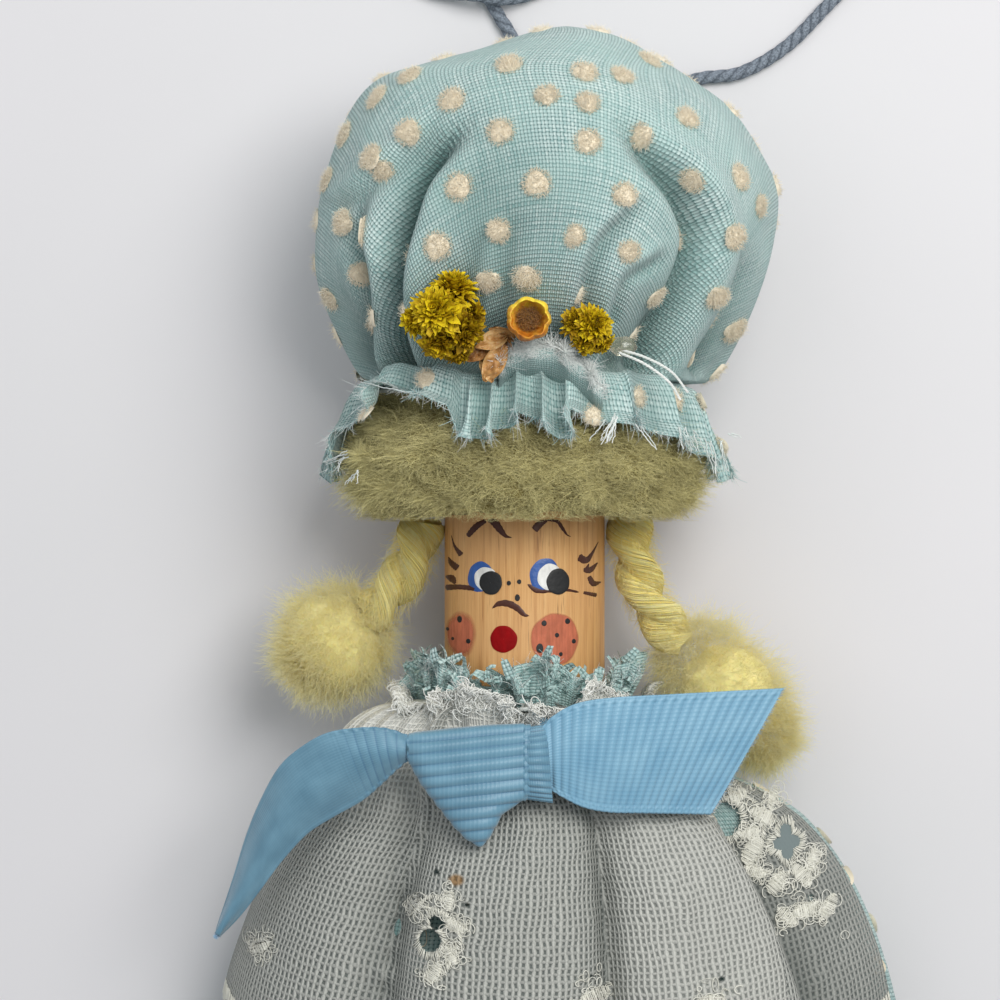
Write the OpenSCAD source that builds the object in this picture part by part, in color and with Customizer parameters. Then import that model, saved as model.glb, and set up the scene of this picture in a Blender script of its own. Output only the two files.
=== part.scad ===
// Clothespin doll with a mob cap, lying on its back.
// X runs across the doll, Y runs from the feet to the head, Z rises from the table.
// The origin is on the table, midway between the leg ends and the top of the cap.

/* [Clothespin] */
// Whole length of the wooden pin
pin_len = 95; // [88:1:102]
// Radius of the wooden pin
pin_r = 6.5; // [6:0.1:6.8]
// Height of the pin's axis above the table
axis_z = 11; // [10.6:0.1:11.6]
// Length of the knob at the hidden end
knob_len = 8; // [7:0.5:9]
// Length of the groove below the knob
groove_len = 3; // [2:0.5:4]
// Depth of the groove below the knob
groove_depth = 1.4; // [0.8:0.1:2]
// Length of the slot between the legs
slot_len = 55; // [45:1:60]
// Width of the slot at its closed end
slot_w = 3.2; // [2.6:0.1:3.8]
// Width of the slot at its mouth
mouth_w = 8.6; // [8:0.1:9]
// Length of the flared mouth of the slot
mouth_len = 18; // [16:1:22]
// Bevel round the leg ends
leg_bevel = 0.5; // [0.3:0.1:0.8]

/* [Mob cap] */
// Thickness of the dotted cloth
cloth_t = 0.6; // [0.5:0.05:0.7]
// Width of the stuffed crown
cap_w = 37.6; // [35:0.2:39]
// Depth of the stuffed crown, front to back
cap_depth = 30; // [29:0.2:31]
// Height of the cap above the top of the pin
cap_above = 24.2; // [22:0.2:26]
// Sideways lean of the crown
cap_lean = 2; // [0.5:0.1:2.6]
// Half width of the gathered ring of the cap
gather_r = 12.2; // [11.8:0.1:12.6]
// Half depth of the gathered ring of the cap, front to back
gather_depth = 10.8; // [10.4:0.1:11.2]
// Distance of the gather below the top of the pin
gather_drop = 4.9; // [4.4:0.1:5.4]
// Width of the gathered ring along the pin
gather_w = 1.3; // [1.2:0.1:1.6]
// How far the frill stands out past the gather
frill_out = 4; // [3.4:0.1:4.4]
// How far the frill falls below the gather
frill_drop = 3.6; // [3:0.1:4]
// Height of the frill's waves
frill_wave = 0.9; // [0.5:0.1:1]
// Depth of the crown's folds
crown_fold = 1.7; // [0.8:0.1:2]

/* [Hair] */
// How far the wool fringe stands out from the pin
fringe_out = 8.3; // [7.6:0.1:8.6]
// Length of the wool fringe below the gather
fringe_len = 9.2; // [8.6:0.1:9.8]
// Radius of a twisted plait
plait_r = 1.8; // [1.5:0.05:1.85]
// Distance of the plait's root below the fringe
root_drop = 2.1; // [2.05:0.05:2.4]
// Length of the left plait down to its tuft
left_plait_len = 6.6; // [6:0.1:7.2]
// Length of the right plait down to its tuft
right_plait_len = 8.4; // [8:0.1:9]
// Half width of a fluffed tuft
tuft_r = 5.3; // [4.6:0.1:5.4]
// Half depth of a fluffed tuft
tuft_depth = 3.9; // [3.4:0.1:4]
// Half length of a fluffed tuft
tuft_half = 5.9; // [5.4:0.1:6]

/* [Dress] */
// Distance of the neck band below the top of the pin
neck_drop = 32; // [31.6:0.1:32.8]
// Width of the gathered neck along the pin
neck_w = 3.4; // [3.2:0.1:3.6]
// Length of the dotted skirt below the neck
skirt_len = 35; // [32:0.5:38]
// Width of the dotted skirt at its hem
skirt_w = 60; // [56:1:62]
// Height of the skirt's front above the table
skirt_top = 21.6; // [21.4:0.1:22.4]
// Height of the skirt's side edge at the hem
skirt_side = 4.5; // [3.5:0.5:6]
// Depth of the skirt's folds
skirt_fold = 2.4; // [1.6:0.1:2.6]
// Height of the ruff above the neck
ruff_h = 4.8; // [4:0.1:5]
// How far the ruff stands out past the neck
ruff_out = 1.1; // [0.6:0.1:1.2]

/* [Eyelet cape] */
// Thickness of the white eyelet cloth
eyelet_t = 0.6; // [0.5:0.05:0.7]
// Length of the cape at the middle of the front
cape_len = 29; // [26:0.5:31]
// Length of the cape at its two sides
cape_side_len = 20; // [17:0.5:22]

/* [Ribbon] */
// Width of the grosgrain ribbon
ribbon_w = 9.4; // [8.8:0.1:9.6]
// Thickness of the grosgrain ribbon
ribbon_t = 0.5; // [0.4:0.05:0.6]
// Width of the band round the neck
band_w = 2.3; // [2:0.1:2.4]
// Width of the knot across the doll
knot_w = 12; // [11:0.2:12.4]
// Height of the knot along the doll
knot_h = 9.6; // [8.6:0.2:10]
// Thickness of the knot
knot_t = 3.6; // [3:0.1:4]
// Length of the left tail
left_tail_len = 21; // [19:0.5:22]
// Length of the right tail
right_tail_len = 15.6; // [14:0.2:16.4]

/* [Trim] */
// Diameter of the two gathering threads
thread_d = 0.5; // [0.4:0.05:0.55]
// Radius of the large dried flower
large_flower_r = 3.4; // [2.8:0.1:3.6]
// Radius of the small dried flower
small_flower_r = 2.2; // [1.8:0.1:2.6]
// Radius of the papery bud
bud_r = 1.8; // [1.4:0.1:2]
// Length of one dried sepal
sepal_len = 3.4; // [3:0.1:3.8]
// Radius of the dab of glue
glue_r = 1; // [0.8:0.1:1.2]

/* [Hanging cord] */
// Diameter of the cord
cord_d = 1.1; // [1:0.05:1.2]

/* [Hidden] */

// Gap kept between neighbouring pieces
gap = 0.3;
// Overrun of every cut
cut = 2;
// Depth of the flat that the cloth is pressed to where the doll lies on it
press = 0.5;

// Places along the pin
total_len = pin_len + cap_above;
leg_y = -total_len / 2;
pin_top_y = leg_y + pin_len;
cap_top_y = leg_y + total_len;
gather_y = pin_top_y - gather_drop;
neck_y = pin_top_y - neck_drop;
neck_low_y = neck_y - neck_w / 2;
neck_high_y = neck_y + neck_w / 2;

// Radii of the layers round the neck, from the pin outwards
dress_in_r = pin_r + gap;
dress_r = dress_in_r + cloth_t;
cape_lift = gap * 1.5;
cape_in_r = dress_r + cape_lift;
cape_r = cape_in_r + eyelet_t;
band_in_r = cape_r + gap;
band_r = band_in_r + ribbon_t;

// Counts of points and folds
crown_folds = 11;
frill_waves = 13;
skirt_folds = 13;
ruff_waves = 15;
crown_points = 44;
crown_rings = 11;
skirt_points = 52;
skirt_rings = 9;

function mix(a, b, t) = a + (b - a) * t;
function clip(t) = min(1, max(0, t));
function ease(t) = (1 - cos(180 * clip(t))) / 2;

// Two triangles of one four-sided patch
function patch(a, b, c, d) = [[a, b, c], [a, c, d]];

// Closed solid through a list of rings that all have the same count of points
module loft(rings) {
  n = len(rings[0]);
  m = len(rings);
  middle = function (r) [for (k = [0:2]) [for (p = r) p[k]] * [for (p = r) 1] / n];
  points = concat([for (r = rings) each r], [middle(rings[0]), middle(rings[m - 1])]);
  sides = [for (i = [0:m - 2]) for (j = [0:n - 1])
    each patch(i * n + j, (i + 1) * n + j, (i + 1) * n + (j + 1) % n, i * n + (j + 1) % n)];
  first = [for (j = [0:n - 1]) [m * n, j, (j + 1) % n]];
  last = [for (j = [0:n - 1]) [m * n + 1, (m - 1) * n + (j + 1) % n, (m - 1) * n + j]];
  polyhedron(points = points, faces = concat(sides, first, last));
}

// Cloth between two grids of points; a wrapped one closes on itself, a closed one ends in a crown
module cloth(outer, inner, wrapped = true, closed = false) {
  m = len(outer);
  n = len(outer[0]);
  count = m * n;
  last = wrapped ? n - 1 : n - 2;
  at = function (i, j) i * n + j % n;
  under = function (i, j) count + at(i, j);
  top = 2 * count;
  middle = function (r) [for (k = [0:2]) [for (p = r) p[k]] * [for (p = r) 1] / n];
  points = concat([for (r = outer) each r], [for (r = inner) each r],
    closed ? [middle(outer[m - 1]), middle(inner[m - 1])] : []);
  out_faces = [for (i = [0:m - 2]) for (j = [0:last])
    each patch(at(i, j), at(i, j + 1), at(i + 1, j + 1), at(i + 1, j))];
  in_faces = [for (i = [0:m - 2]) for (j = [0:last])
    each patch(under(i, j), under(i + 1, j), under(i + 1, j + 1), under(i, j + 1))];
  hem_faces = [for (j = [0:last])
    each patch(at(0, j + 1), at(0, j), under(0, j), under(0, j + 1))];
  top_faces = closed
    ? concat([for (j = [0:n - 1]) [top, at(m - 1, j), at(m - 1, j + 1)]],
        [for (j = [0:n - 1]) [top + 1, under(m - 1, j + 1), under(m - 1, j)]])
    : [for (j = [0:last])
        each patch(at(m - 1, j), at(m - 1, j + 1), under(m - 1, j + 1), under(m - 1, j))];
  edge_faces = wrapped ? [] : concat(
    [for (i = [0:m - 2]) each patch(at(i, 0), at(i + 1, 0), under(i + 1, 0), under(i, 0))],
    [for (i = [0:m - 2])
      each patch(at(i + 1, n - 1), at(i, n - 1), under(i, n - 1), under(i + 1, n - 1))]);
  polyhedron(points = points, faces = concat(out_faces, in_faces, hem_faces, top_faces, edge_faces));
}

// Places something that is drawn upright on the pin's axis, at a place along it
module along_pin(y) {
  translate([0, y, axis_z]) rotate([-90, 0, 0]) children();
}

module clothespin() {
  groove_y = pin_len - knob_len - groove_len;
  color("burlywood")
    difference() {
      along_pin(leg_y)
        rotate_extrude($fn = 64)
          polygon(concat(
            [[0, 0], [pin_r - leg_bevel, 0], [pin_r, leg_bevel], [pin_r, groove_y],
             [pin_r - groove_depth, groove_y + groove_depth],
             [pin_r - groove_depth, groove_y + groove_len - groove_depth / 2],
             [pin_r, groove_y + groove_len + groove_depth / 2]],
            [for (a = [0:15:90]) [pin_r * cos(a), pin_len - knob_len / 2 + knob_len / 2 * sin(a)]]));
      translate([0, leg_y, -cut])
        linear_extrude(height = axis_z + pin_r + 2 * cut) {
          polygon([[-mouth_w / 2, -cut], [mouth_w / 2, -cut], [mouth_w / 2, 0], [slot_w / 2, mouth_len],
            [slot_w / 2, slot_len - slot_w / 2], [-slot_w / 2, slot_len - slot_w / 2],
            [-slot_w / 2, mouth_len], [-mouth_w / 2, 0]]);
          translate([0, slot_len - slot_w / 2]) circle(d = slot_w, $fn = 32);
        }
    }
}

// The crown's middle, and its half height above and below
crown_low_y = gather_y + gather_w / 2;
crown_low_angle = -58;
crown_half = (cap_top_y - crown_low_y) / (1 - sin(crown_low_angle));
crown_mid_y = cap_top_y - crown_half;
crown_mid_z = cap_depth / 2 - press;
gather_z = gather_depth + thread_d + 2 * gap;

// A point of the crown: a is the way round, b the height angle, inset the depth below the surface
function crown_point(a, b, inset) =
  let (
    t = (b - crown_low_angle) / (90 - crown_low_angle),
    open = ease(t * 3.2),
    fold = crown_fold * (0.35 + 0.65 * ease(1.4 - 2 * t)) * open * clip(cos(b)),
    wave = fold * (cos(crown_folds * a) - 1) / 2,
    full = pow(max(cos(b), 0), 0.72),
    rx = mix(gather_r, cap_w / 2 * full, open) + wave - inset,
    rz = mix(gather_depth, cap_depth / 2 * full, open) + wave - inset,
    x = cap_lean * open + rx * cos(a),
    z = mix(gather_z, crown_mid_z, open) + rz * sin(a),
    y = crown_mid_y + (crown_half - inset) * sin(b)
  )
  [x, t == 0 ? crown_low_y : y, max(z, inset)];

// A point of the frill: s runs from its frayed edge at 0 to the gather at 1
function frill_point(a, s, inset) =
  let (
    wave = frill_wave * (1 - s) * cos(frill_waves * a),
    spread = frill_out * (1 - s) - inset * s,
    y = gather_y - gather_w / 2 - frill_drop * (1 - s) + wave - inset * (1 - s) * 1.3,
    z = gather_z + (gather_depth + spread) * sin(a)
  )
  [(gather_r + spread) * cos(a), y, max(z, inset)];

function cap_rows(inset) = concat(
  [for (s = [0, 0.5, 1]) [for (j = [0:crown_points - 1]) frill_point(360 * j / crown_points, s, inset)]],
  [for (i = [0:crown_rings]) let (b = mix(crown_low_angle, 84, i / crown_rings))
    [for (j = [0:crown_points - 1]) crown_point(360 * j / crown_points, b, inset)]]);

module mob_cap() {
  color("paleturquoise") cloth(cap_rows(0), cap_rows(cloth_t), closed = true);
}

// Loose fibre that keeps the crown full; it is pushed down over the knob
module cap_stuffing() {
  stuffing_points = 24;
  stuffing_rings = 6;
  low_b = -40;
  depth = cloth_t + gap * 3.5 + crown_fold;
  color("white")
    difference() {
      loft([for (i = [0:stuffing_rings]) let (b = mix(low_b, 80, i / stuffing_rings))
        [for (j = [0:stuffing_points - 1])
          let (a = -360 * j / stuffing_points, full = pow(cos(b), 0.72),
            x = cap_lean + (cap_w / 2 * full - depth) * cos(a),
            z = crown_mid_z + (cap_depth / 2 * full - depth) * sin(a))
          [x, crown_mid_y + (crown_half - depth) * sin(b), z]]]);
      along_pin(crown_mid_y - crown_half)
        cylinder(h = pin_top_y - crown_mid_y + crown_half + gap, r = pin_r + gap, $fn = 48);
    }
}

// An oval ring of thread: its half width, half depth, height of its middle and place along the pin
module thread_ring(half_w, half_d, mid_z, y) {
  n = 40;
  sides = 6;
  out = gap + thread_d / 2;
  points = [for (j = [0:n - 1]) let (a = 360 * j / n) for (k = [0:sides - 1])
    let (c = 360 * k / sides, r = out + thread_d / 2 * cos(c))
    [(half_w + r) * cos(a), y + thread_d / 2 * sin(c), mid_z + (half_d + r) * sin(a)]];
  at = function (j, k) (j % n) * sides + k % sides;
  polyhedron(points = points, faces = [for (j = [0:n - 1]) for (k = [0:sides - 1])
    each patch(at(j, k), at(j + 1, k), at(j + 1, k + 1), at(j, k + 1))]);
}

module cap_thread() {
  color("ivory") thread_ring(gather_r, gather_depth, gather_z, gather_y);
}

// Ring of wool pile round the head, pressed flat at the back and seated under the frill
fringe_low_y = gather_y - gather_w / 2 - fringe_len;
module wool_fringe() {
  n = 40;
  under = gap + cloth_t * 1.6 + frill_wave;
  seat_y = gather_y - gather_w / 2 - under;
  slope = frill_drop / frill_out;
  full_w = pin_r + fringe_out;
  full_d = full_w - gather_r + gather_depth;
  bulge = full_w - gather_r;
  squeeze = cloth_t + gap;
  head_in = pin_r + gap;
  brow_in = root_x + plait_r + gap * 1.5;
  brow_y = fringe_low_y + 2 * plait_r + 2 * gap;
  // Each row: place along the pin, and how far it stands out from the gather's ring
  rows = [[fringe_low_y, bulge - fringe_out * 0.42],
    [fringe_low_y + fringe_out * 0.09, bulge - fringe_out * 0.15],
    [fringe_low_y + fringe_out * 0.24, bulge - fringe_out * 0.03],
    [fringe_low_y + fringe_out * 0.4, bulge],
    [seat_y - bulge * slope, bulge],
    [seat_y, -squeeze],
    [gather_y + gather_w / 2, -squeeze]];
  lift = squeeze + gap;
  outer = [for (k = rows) [for (j = [0:n - 1]) let (a = 360 * j / n)
    [(gather_r + k[1]) * cos(a), k[0], max(gather_z + (gather_depth + k[1]) * sin(a), lift)]]];
  inner = [for (i = [0:len(rows) - 1]) [for (j = [0:n - 1])
    let (a = 360 * j / n, low = rows[i][0] < brow_y + gap, brow = low ? clip((0.4 + sin(a)) * 4) : 0,
      r = mix(head_in, brow_in, brow))
    [r * cos(a), i < 4 ? rows[i][0] : max(rows[i][0], brow_y + gap * 2), axis_z + r * sin(a)]]];
  color("darkkhaki") cloth(outer, inner);
}

// Both plaits are the ends of one strand of roving that is glued over the brow, under the fringe
root_x = pin_r + plait_r + gap;
root_y = fringe_low_y - root_drop;
module hair_roving() {
  r = root_x + plait_r;
  color("khaki")
    intersection() {
      along_pin(root_y + root_drop + gap + plait_r)
        rotate_extrude($fn = 48) translate([root_x, 0]) circle(r = plait_r, $fn = 24);
      translate([-r - cut, root_y, axis_z]) cube([2 * (r + cut), 2 * r, r + cut]);
    }
}

// A plait and its tuft as one strand: side is -1 or 1, turn is the lean of each stretch from -Y
strand_sides = 10;
tuft_drop = tuft_depth * 0.35;
module strand(side, plait_len, lean_root, lean_tip) {
  root = [side * root_x, root_y, axis_z];
  heading = function (lean) [side * sin(lean), -cos(lean), 0];
  ball_shares = [-0.97, -0.7, 0];
  plait_shares = [0.3, 0.65, 1];
  tuft_shares = [0.12, 0.3, 0.6, 1, 1.4, 1.72, 1.94];
  place = function (s) root + plait_len * s * heading(mix(lean_root, lean_tip, s / 2));
  tip = place(1);
  ring = function (c, lean, rw, rz)
    [for (j = [0:strand_sides - 1]) let (a = 360 * j / strand_sides)
      c + rw * cos(a) * [cos(lean), side * sin(lean), 0] + [0, 0, rz * sin(a)]];
  loft(concat(
    [for (t = ball_shares) ring(root + plait_r * t * heading(lean_root), lean_root,
      plait_r * sqrt(1 - t * t), plait_r * sqrt(1 - t * t))],
    [for (t = plait_shares) ring(place(t), mix(lean_root, lean_tip, t), plait_r, plait_r)],
    [for (t = tuft_shares) ring(tip + tuft_half * t * heading(lean_tip) - [0, 0, tuft_drop * clip(t)],
      lean_tip, tuft_width(t, tuft_r), tuft_width(t, tuft_depth))]));
}

// Half width of a tuft at a share of its half length, from the plait at 0 to its end at 2
function tuft_width(t, r) = t < 1
  ? mix(plait_r, r, sin(90 * t))
  : r * sqrt(max(0.02, 1 - pow(t - 1, 2)));

module left_plait() {
  color("khaki") strand(-1, left_plait_len, 16, 50);
}

module right_plait() {
  color("khaki") strand(1, right_plait_len, 6, 42);
}

// Half width, front height and side height of the skirt at a place s from the neck at 0 to the hem at 1
function skirt_half(s, r) = mix(r, skirt_w / 2, sin(90 * sqrt(s)));
function skirt_front(s, r) = mix(axis_z + r, skirt_top, ease(s * 1.5));
function skirt_edge(s) = mix(axis_z, skirt_side, ease(s * 2.2));

// A point of the skirt: a is the way round, layer the distance outside the dotted cloth
function skirt_point(a, s, y, layer, floor_z) =
  let (
    wave = skirt_fold * ease(s * 2) * (cos(skirt_folds * (a - 90)) - 1) / 2,
    half = skirt_half(s, dress_r) + layer,
    edge = skirt_edge(s),
    flat_share = ease(s * 6),
    front_rise = skirt_front(s, dress_r) + layer - edge + wave,
    back_drop = mix(dress_r, edge + press, flat_share) + layer,
    rise = sin(a) > 0
      ? front_rise * mix(sin(a), pow(sin(a), 1.15), clip(s * 4))
      : -back_drop * sqrt(-sin(a)) * pow(-sin(a), 0.5 * (1 - flat_share))
  )
  [(half + wave * 0.5) * cos(a), y, max(edge + rise, floor_z)];

function skirt_share(i) = pow(i / skirt_rings, 1.7);

// Rows of the dress from its hem up to the neck and the ruff
function dress_rows(layer, floor_z) = concat(
  [for (i = [skirt_rings:-1:0]) let (s = skirt_share(i))
    [for (j = [0:skirt_points - 1])
      skirt_point(360 * j / skirt_points, s, neck_low_y - skirt_len * s, layer, floor_z)]],
  [for (t = [0, 0.5, 1])
    [for (j = [0:skirt_points - 1]) let (a = 360 * j / skirt_points,
        r = dress_r + layer + t * (ruff_out + ruff_out * 0.3 * cos(ruff_waves * a)))
      [r * cos(a), neck_high_y + ruff_h * t, axis_z + r * sin(a)]]]);

module dotted_dress() {
  color("paleturquoise") cloth(dress_rows(0, 0), dress_rows(-cloth_t, cloth_t));
}

module neck_thread() {
  color("ivory") thread_ring(dress_r, dress_r, axis_z, neck_high_y + thread_d * 0.2);
}

// The cape covers the front of the dress between these two angles
cape_from = 20;
cape_to = 174;
cape_points = 27;
cape_rings = 7;
cape_top_y = neck_high_y - thread_d - gap;
function cape_rows(layer) = concat(
  [for (i = [cape_rings:-1:0])
    [for (j = [0:cape_points - 1])
      let (a = mix(cape_from, cape_to, j / (cape_points - 1)),
        reach = mix(cape_side_len, cape_len, pow(sin(a), 2)) / skirt_len,
        s = reach * pow(i / cape_rings, 1.7))
      skirt_point(a, s, neck_low_y - skirt_len * s, layer, layer)]],
  [[for (j = [0:cape_points - 1])
    let (a = mix(cape_from, cape_to, j / (cape_points - 1)), r = dress_r + layer)
    [r * cos(a), cape_top_y, axis_z + r * sin(a)]]]);

module eyelet_cape() {
  color("white") cloth(cape_rows(cape_lift + eyelet_t), cape_rows(cape_lift), wrapped = false);
}

module ribbon_band() {
  color("skyblue")
    along_pin(neck_low_y + 2 * gap)
      difference() {
        cylinder(h = band_w, r = band_r, $fn = 64);
        translate([0, 0, -cut]) cylinder(h = band_w + 2 * cut, r = band_in_r, $fn = 64);
      }
}

// The knot lies in front of the band, on the cape
knot_x = -knot_w * 0.3;
knot_y = neck_y - knot_h * 0.31;
knot_z = axis_z + band_r + gap + knot_t / 2;
module ribbon_knot() {
  knot_points = 14;
  end_shares = [[-1, 0.42], [-0.88, 0.74], [-0.45, 0.96], [0.1, 1], [0.6, 0.9], [0.9, 0.72], [1, 0.45]];
  color("skyblue")
    loft([for (e = end_shares)
      [for (j = [0:knot_points - 1]) let (a = 360 * j / knot_points)
        [knot_x + knot_w / 2 * e[0], knot_y + knot_h / 2 * e[1] * cos(a) - knot_h * 0.1 * e[0] * e[0],
         knot_z + knot_t / 2 * sqrt(e[1]) * sin(a)]]]);
}

// A flat tail: each station is its share of the length, drift, fall, half width and turn of its edge
module tail(side, start, tail_len, lean, station_shares) {
  ahead = [side * cos(lean), sin(lean), 0];
  aside = [-sin(lean), side * cos(lean), 0];
  rows = function (lift) [for (k = station_shares)
    let (c = start + ahead * tail_len * k[0] + aside * tail_len * k[1] + [0, 0, lift - tail_len * k[2]],
      edge = [-sin(lean + k[4]), side * cos(lean + k[4]), 0] * ribbon_w / 2 * k[3])
    [c - edge, c, c + edge]];
  cloth(rows(ribbon_t / 2), rows(-ribbon_t / 2), wrapped = false);
}

left_root = [knot_x - knot_w / 2 - gap * 1.6, knot_y + knot_h * 0.08, knot_z];
right_root = [knot_x + knot_w / 2 + gap * 1.6, knot_y + knot_h * 0.08, knot_z];
left_lean = -45;
right_lean = 12;

module ribbon_left_tail() {
  color("skyblue")
    tail(-1, left_root, left_tail_len, left_lean, [
      [0, 0, 0, 0.42, -left_lean], [0.12, 0.05, 0.01, 0.6, 25], [0.25, 0.06, 0.03, 0.8, 10],
      [0.45, 0.05, 0.09, 0.9, 0], [0.7, 0.03, 0.21, 0.85, 0], [0.9, 0, 0.32, 0.55, -10],
      [1.02, -0.03, 0.37, 0.1, -10]]);
}

module ribbon_right_tail() {
  color("skyblue")
    tail(1, right_root, right_tail_len, right_lean, [
      [0, 0, 0, 0.44, -right_lean], [0.25, -0.02, 0.02, 0.8, -6], [0.5, -0.02, 0.07, 0.95, -8],
      [0.75, -0.01, 0.13, 1.05, -20], [1, 0, 0.2, 1.22, -38]]);
}

// Puts a trim piece on the crown, its stem pointing into the crown
module on_crown(a, b, r) {
  p = crown_point(a, b, 0);
  q = crown_point(a, b, -r - gap);
  d = q - p;
  translate(p + d * ((r + gap) / norm(d)))
    rotate([0, acos(d[2] / norm(d)), atan2(d[1], d[0])])
      children();
}

// A dried flower head: a dome of petals on a short calyx
module flower_head(r) {
  rotate_extrude($fn = 32)
    polygon(concat([[0, -r * 0.98], [r * 0.35, -r * 0.98]],
      [for (a = [-30:15:75]) [r * cos(a), r * sin(a) * 0.9]], [[0, r * 0.9]]));
}

module large_flower() {
  color("gold") on_crown(115, -27, large_flower_r) flower_head(large_flower_r);
}

module small_flower() {
  color("gold") on_crown(74, -34, small_flower_r) flower_head(small_flower_r);
}

module papery_bud() {
  color("orange") on_crown(94, -29, bud_r) flower_head(bud_r);
}

// One dry leaf scale: a flat spindle whose stations are shares of its half length and half width
module sepal() {
  station_shares = [[-1, 0.15], [-0.6, 0.7], [0, 1], [0.6, 0.7], [1, 0.1]];
  sides = 8;
  half_len = sepal_len * 0.3;
  half_w = sepal_len * 0.18;
  half_t = half_w * 0.5;
  loft([for (e = station_shares)
    [for (j = [0:sides - 1]) let (a = -360 * j / sides)
      [half_w * e[1] * cos(a), half_len * e[0], half_t * e[1] * sin(a)]]]);
}

// Three dry leaf scales that fan out on the crown just above the frill
module dried_sepals() {
  color("peru")
    on_crown(104, -42, sepal_len * 0.25)
      for (turn = [-40, 0, 45])
        rotate([0, 0, turn])
          translate([0, sepal_len * 0.2, 0])
            sepal();
}

module glue_dab() {
  seated_r = glue_r * 0.6;
  color("gainsboro") on_crown(62, -40, seated_r) sphere(r = seated_r, $fn = 24);
}

// The cord's route: from under the crown, a small loop and crossing, one large loop, and back
cord_points = [
  [2, 52, 0.6], [0, 56, 0.6], [-0.8, 60, 0.6], [-2, 62.2, 0.6], [-3.2, 64.2, 0.6],
  [-4.6, 66.8, 0.6], [-6.9, 68.9, 0.6], [-9.4, 68.6, 0.6], [-10.3, 66.4, 0.6], [-8.8, 64.8, 0.6],
  [-6.4, 64.2, 1.2], [-4, 63.9, 2], [-1.8, 63.6, 1.8], [0.4, 64.1, 0.8], [3, 65.4, 0.6],
  [6, 68, 0.6], [9, 72.4, 0.6], [11, 78, 0.6], [13.6, 84.4, 0.6], [18, 90, 0.6],
  [24.4, 92.6, 0.6], [31, 90, 0.6], [34.4, 84, 0.6], [34, 76.6, 0.6], [31.8, 71, 0.6],
  [28.8, 66.8, 0.6], [25.4, 63.2, 0.6], [22, 59.8, 0.6], [18.2, 57.6, 0.6], [14.4, 57, 0.6],
  [10.4, 55.2, 0.6], [6, 52, 0.6]];

function bend(p, q, r, s, t) = 0.5 * (2 * q + (r - p) * t + (2 * p - 5 * q + 4 * r - s) * t * t
  + (3 * q - p - 3 * r + s) * t * t * t);

module hanging_cord() {
  n = len(cord_points);
  at = function (i) cord_points[min(n - 1, max(0, i))];
  steps = 2;
  path = concat([for (i = [0:n - 2]) for (k = [0:steps - 1])
    bend(at(i - 1), at(i), at(i + 1), at(i + 2), k / steps)], [at(n - 1)]);
  m = len(path);
  sides = 8;
  color("slategray")
    loft([for (i = [0:m - 1])
      let (d = path[min(m - 1, i + 1)] - path[max(0, i - 1)], f = d / norm(d),
        s = cross(f, [0, 0, 1]) / norm(cross(f, [0, 0, 1])), u = cross(s, f))
      [for (j = [0:sides - 1]) let (a = 45 / 2 - 360 * j / sides)
        path[i] + (s * cos(a) + u * sin(a)) * cord_d / 2]]);
}

clothespin();
cap_stuffing();
mob_cap();
cap_thread();
wool_fringe();
hair_roving();
left_plait();
right_plait();
dotted_dress();
neck_thread();
eyelet_cape();
ribbon_band();
ribbon_knot();
ribbon_left_tail();
ribbon_right_tail();
large_flower();
small_flower();
papery_bud();
dried_sepals();
glue_dab();
hanging_cord();
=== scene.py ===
# %% [markdown]
# # A clothespin doll in a mob cap
# A wooden clothespin with a painted face lies on its back. It wears a stuffed cap, a wool fringe,
# two plaits, a dotted dress, an eyelet cape and a grosgrain ribbon. A thin cord hangs it up.
# The frame gives every node its place, and each soft node is replaced by a dressed piece here.
# %% Load the frame
import math
import bpy
import numpy as np
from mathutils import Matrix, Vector


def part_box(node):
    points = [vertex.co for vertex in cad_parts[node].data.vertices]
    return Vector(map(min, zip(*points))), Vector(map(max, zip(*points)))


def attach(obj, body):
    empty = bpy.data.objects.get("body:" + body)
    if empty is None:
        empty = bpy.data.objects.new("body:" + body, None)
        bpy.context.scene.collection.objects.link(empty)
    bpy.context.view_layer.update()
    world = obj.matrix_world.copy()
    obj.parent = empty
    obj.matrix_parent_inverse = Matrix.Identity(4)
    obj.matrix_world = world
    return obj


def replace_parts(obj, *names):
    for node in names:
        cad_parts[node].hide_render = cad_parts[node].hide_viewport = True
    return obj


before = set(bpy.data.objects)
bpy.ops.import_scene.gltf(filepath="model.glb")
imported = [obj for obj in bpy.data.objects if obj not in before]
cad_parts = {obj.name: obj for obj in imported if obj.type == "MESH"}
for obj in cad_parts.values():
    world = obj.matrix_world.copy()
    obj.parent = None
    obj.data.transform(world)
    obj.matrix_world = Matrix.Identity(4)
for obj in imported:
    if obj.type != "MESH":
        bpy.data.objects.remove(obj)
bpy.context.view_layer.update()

# %% [markdown]
# ## Camera
# The photograph looks straight down on the doll with a longish lens. One millimetre on the doll
# is 12.5 of its 1000 pixels, so the frame is 80 mm wide where the doll's front lies.
# %% Camera
MM = 0.001
PIN_AXIS_Z = 11
FRAME_W = 80
LENS_DISTANCE = 330
SUBJECT_Z = 16
VIEW_CENTRE = (-2.0, 21.8)

camera_data = bpy.data.cameras.new("camera")
camera_data.lens = camera_data.sensor_width * LENS_DISTANCE / FRAME_W
camera_data.clip_start = 0.01
camera_data.clip_end = 10
camera = bpy.data.objects.new("camera", camera_data)
camera.location = (VIEW_CENTRE[0] * MM, VIEW_CENTRE[1] * MM, (SUBJECT_Z + LENS_DISTANCE) * MM)
bpy.context.scene.collection.objects.link(camera)
bpy.context.scene.camera = camera
print("lens", round(camera_data.lens, 1))

# %% [markdown]
# ## Meshes from arrays
# Cloth, paint and fibres are all grids of points. These helpers work in millimetres, and turn
# arrays into named meshes that ride on a body of the frame.
# %% Mesh helpers
TURN = 2 * math.pi


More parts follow.
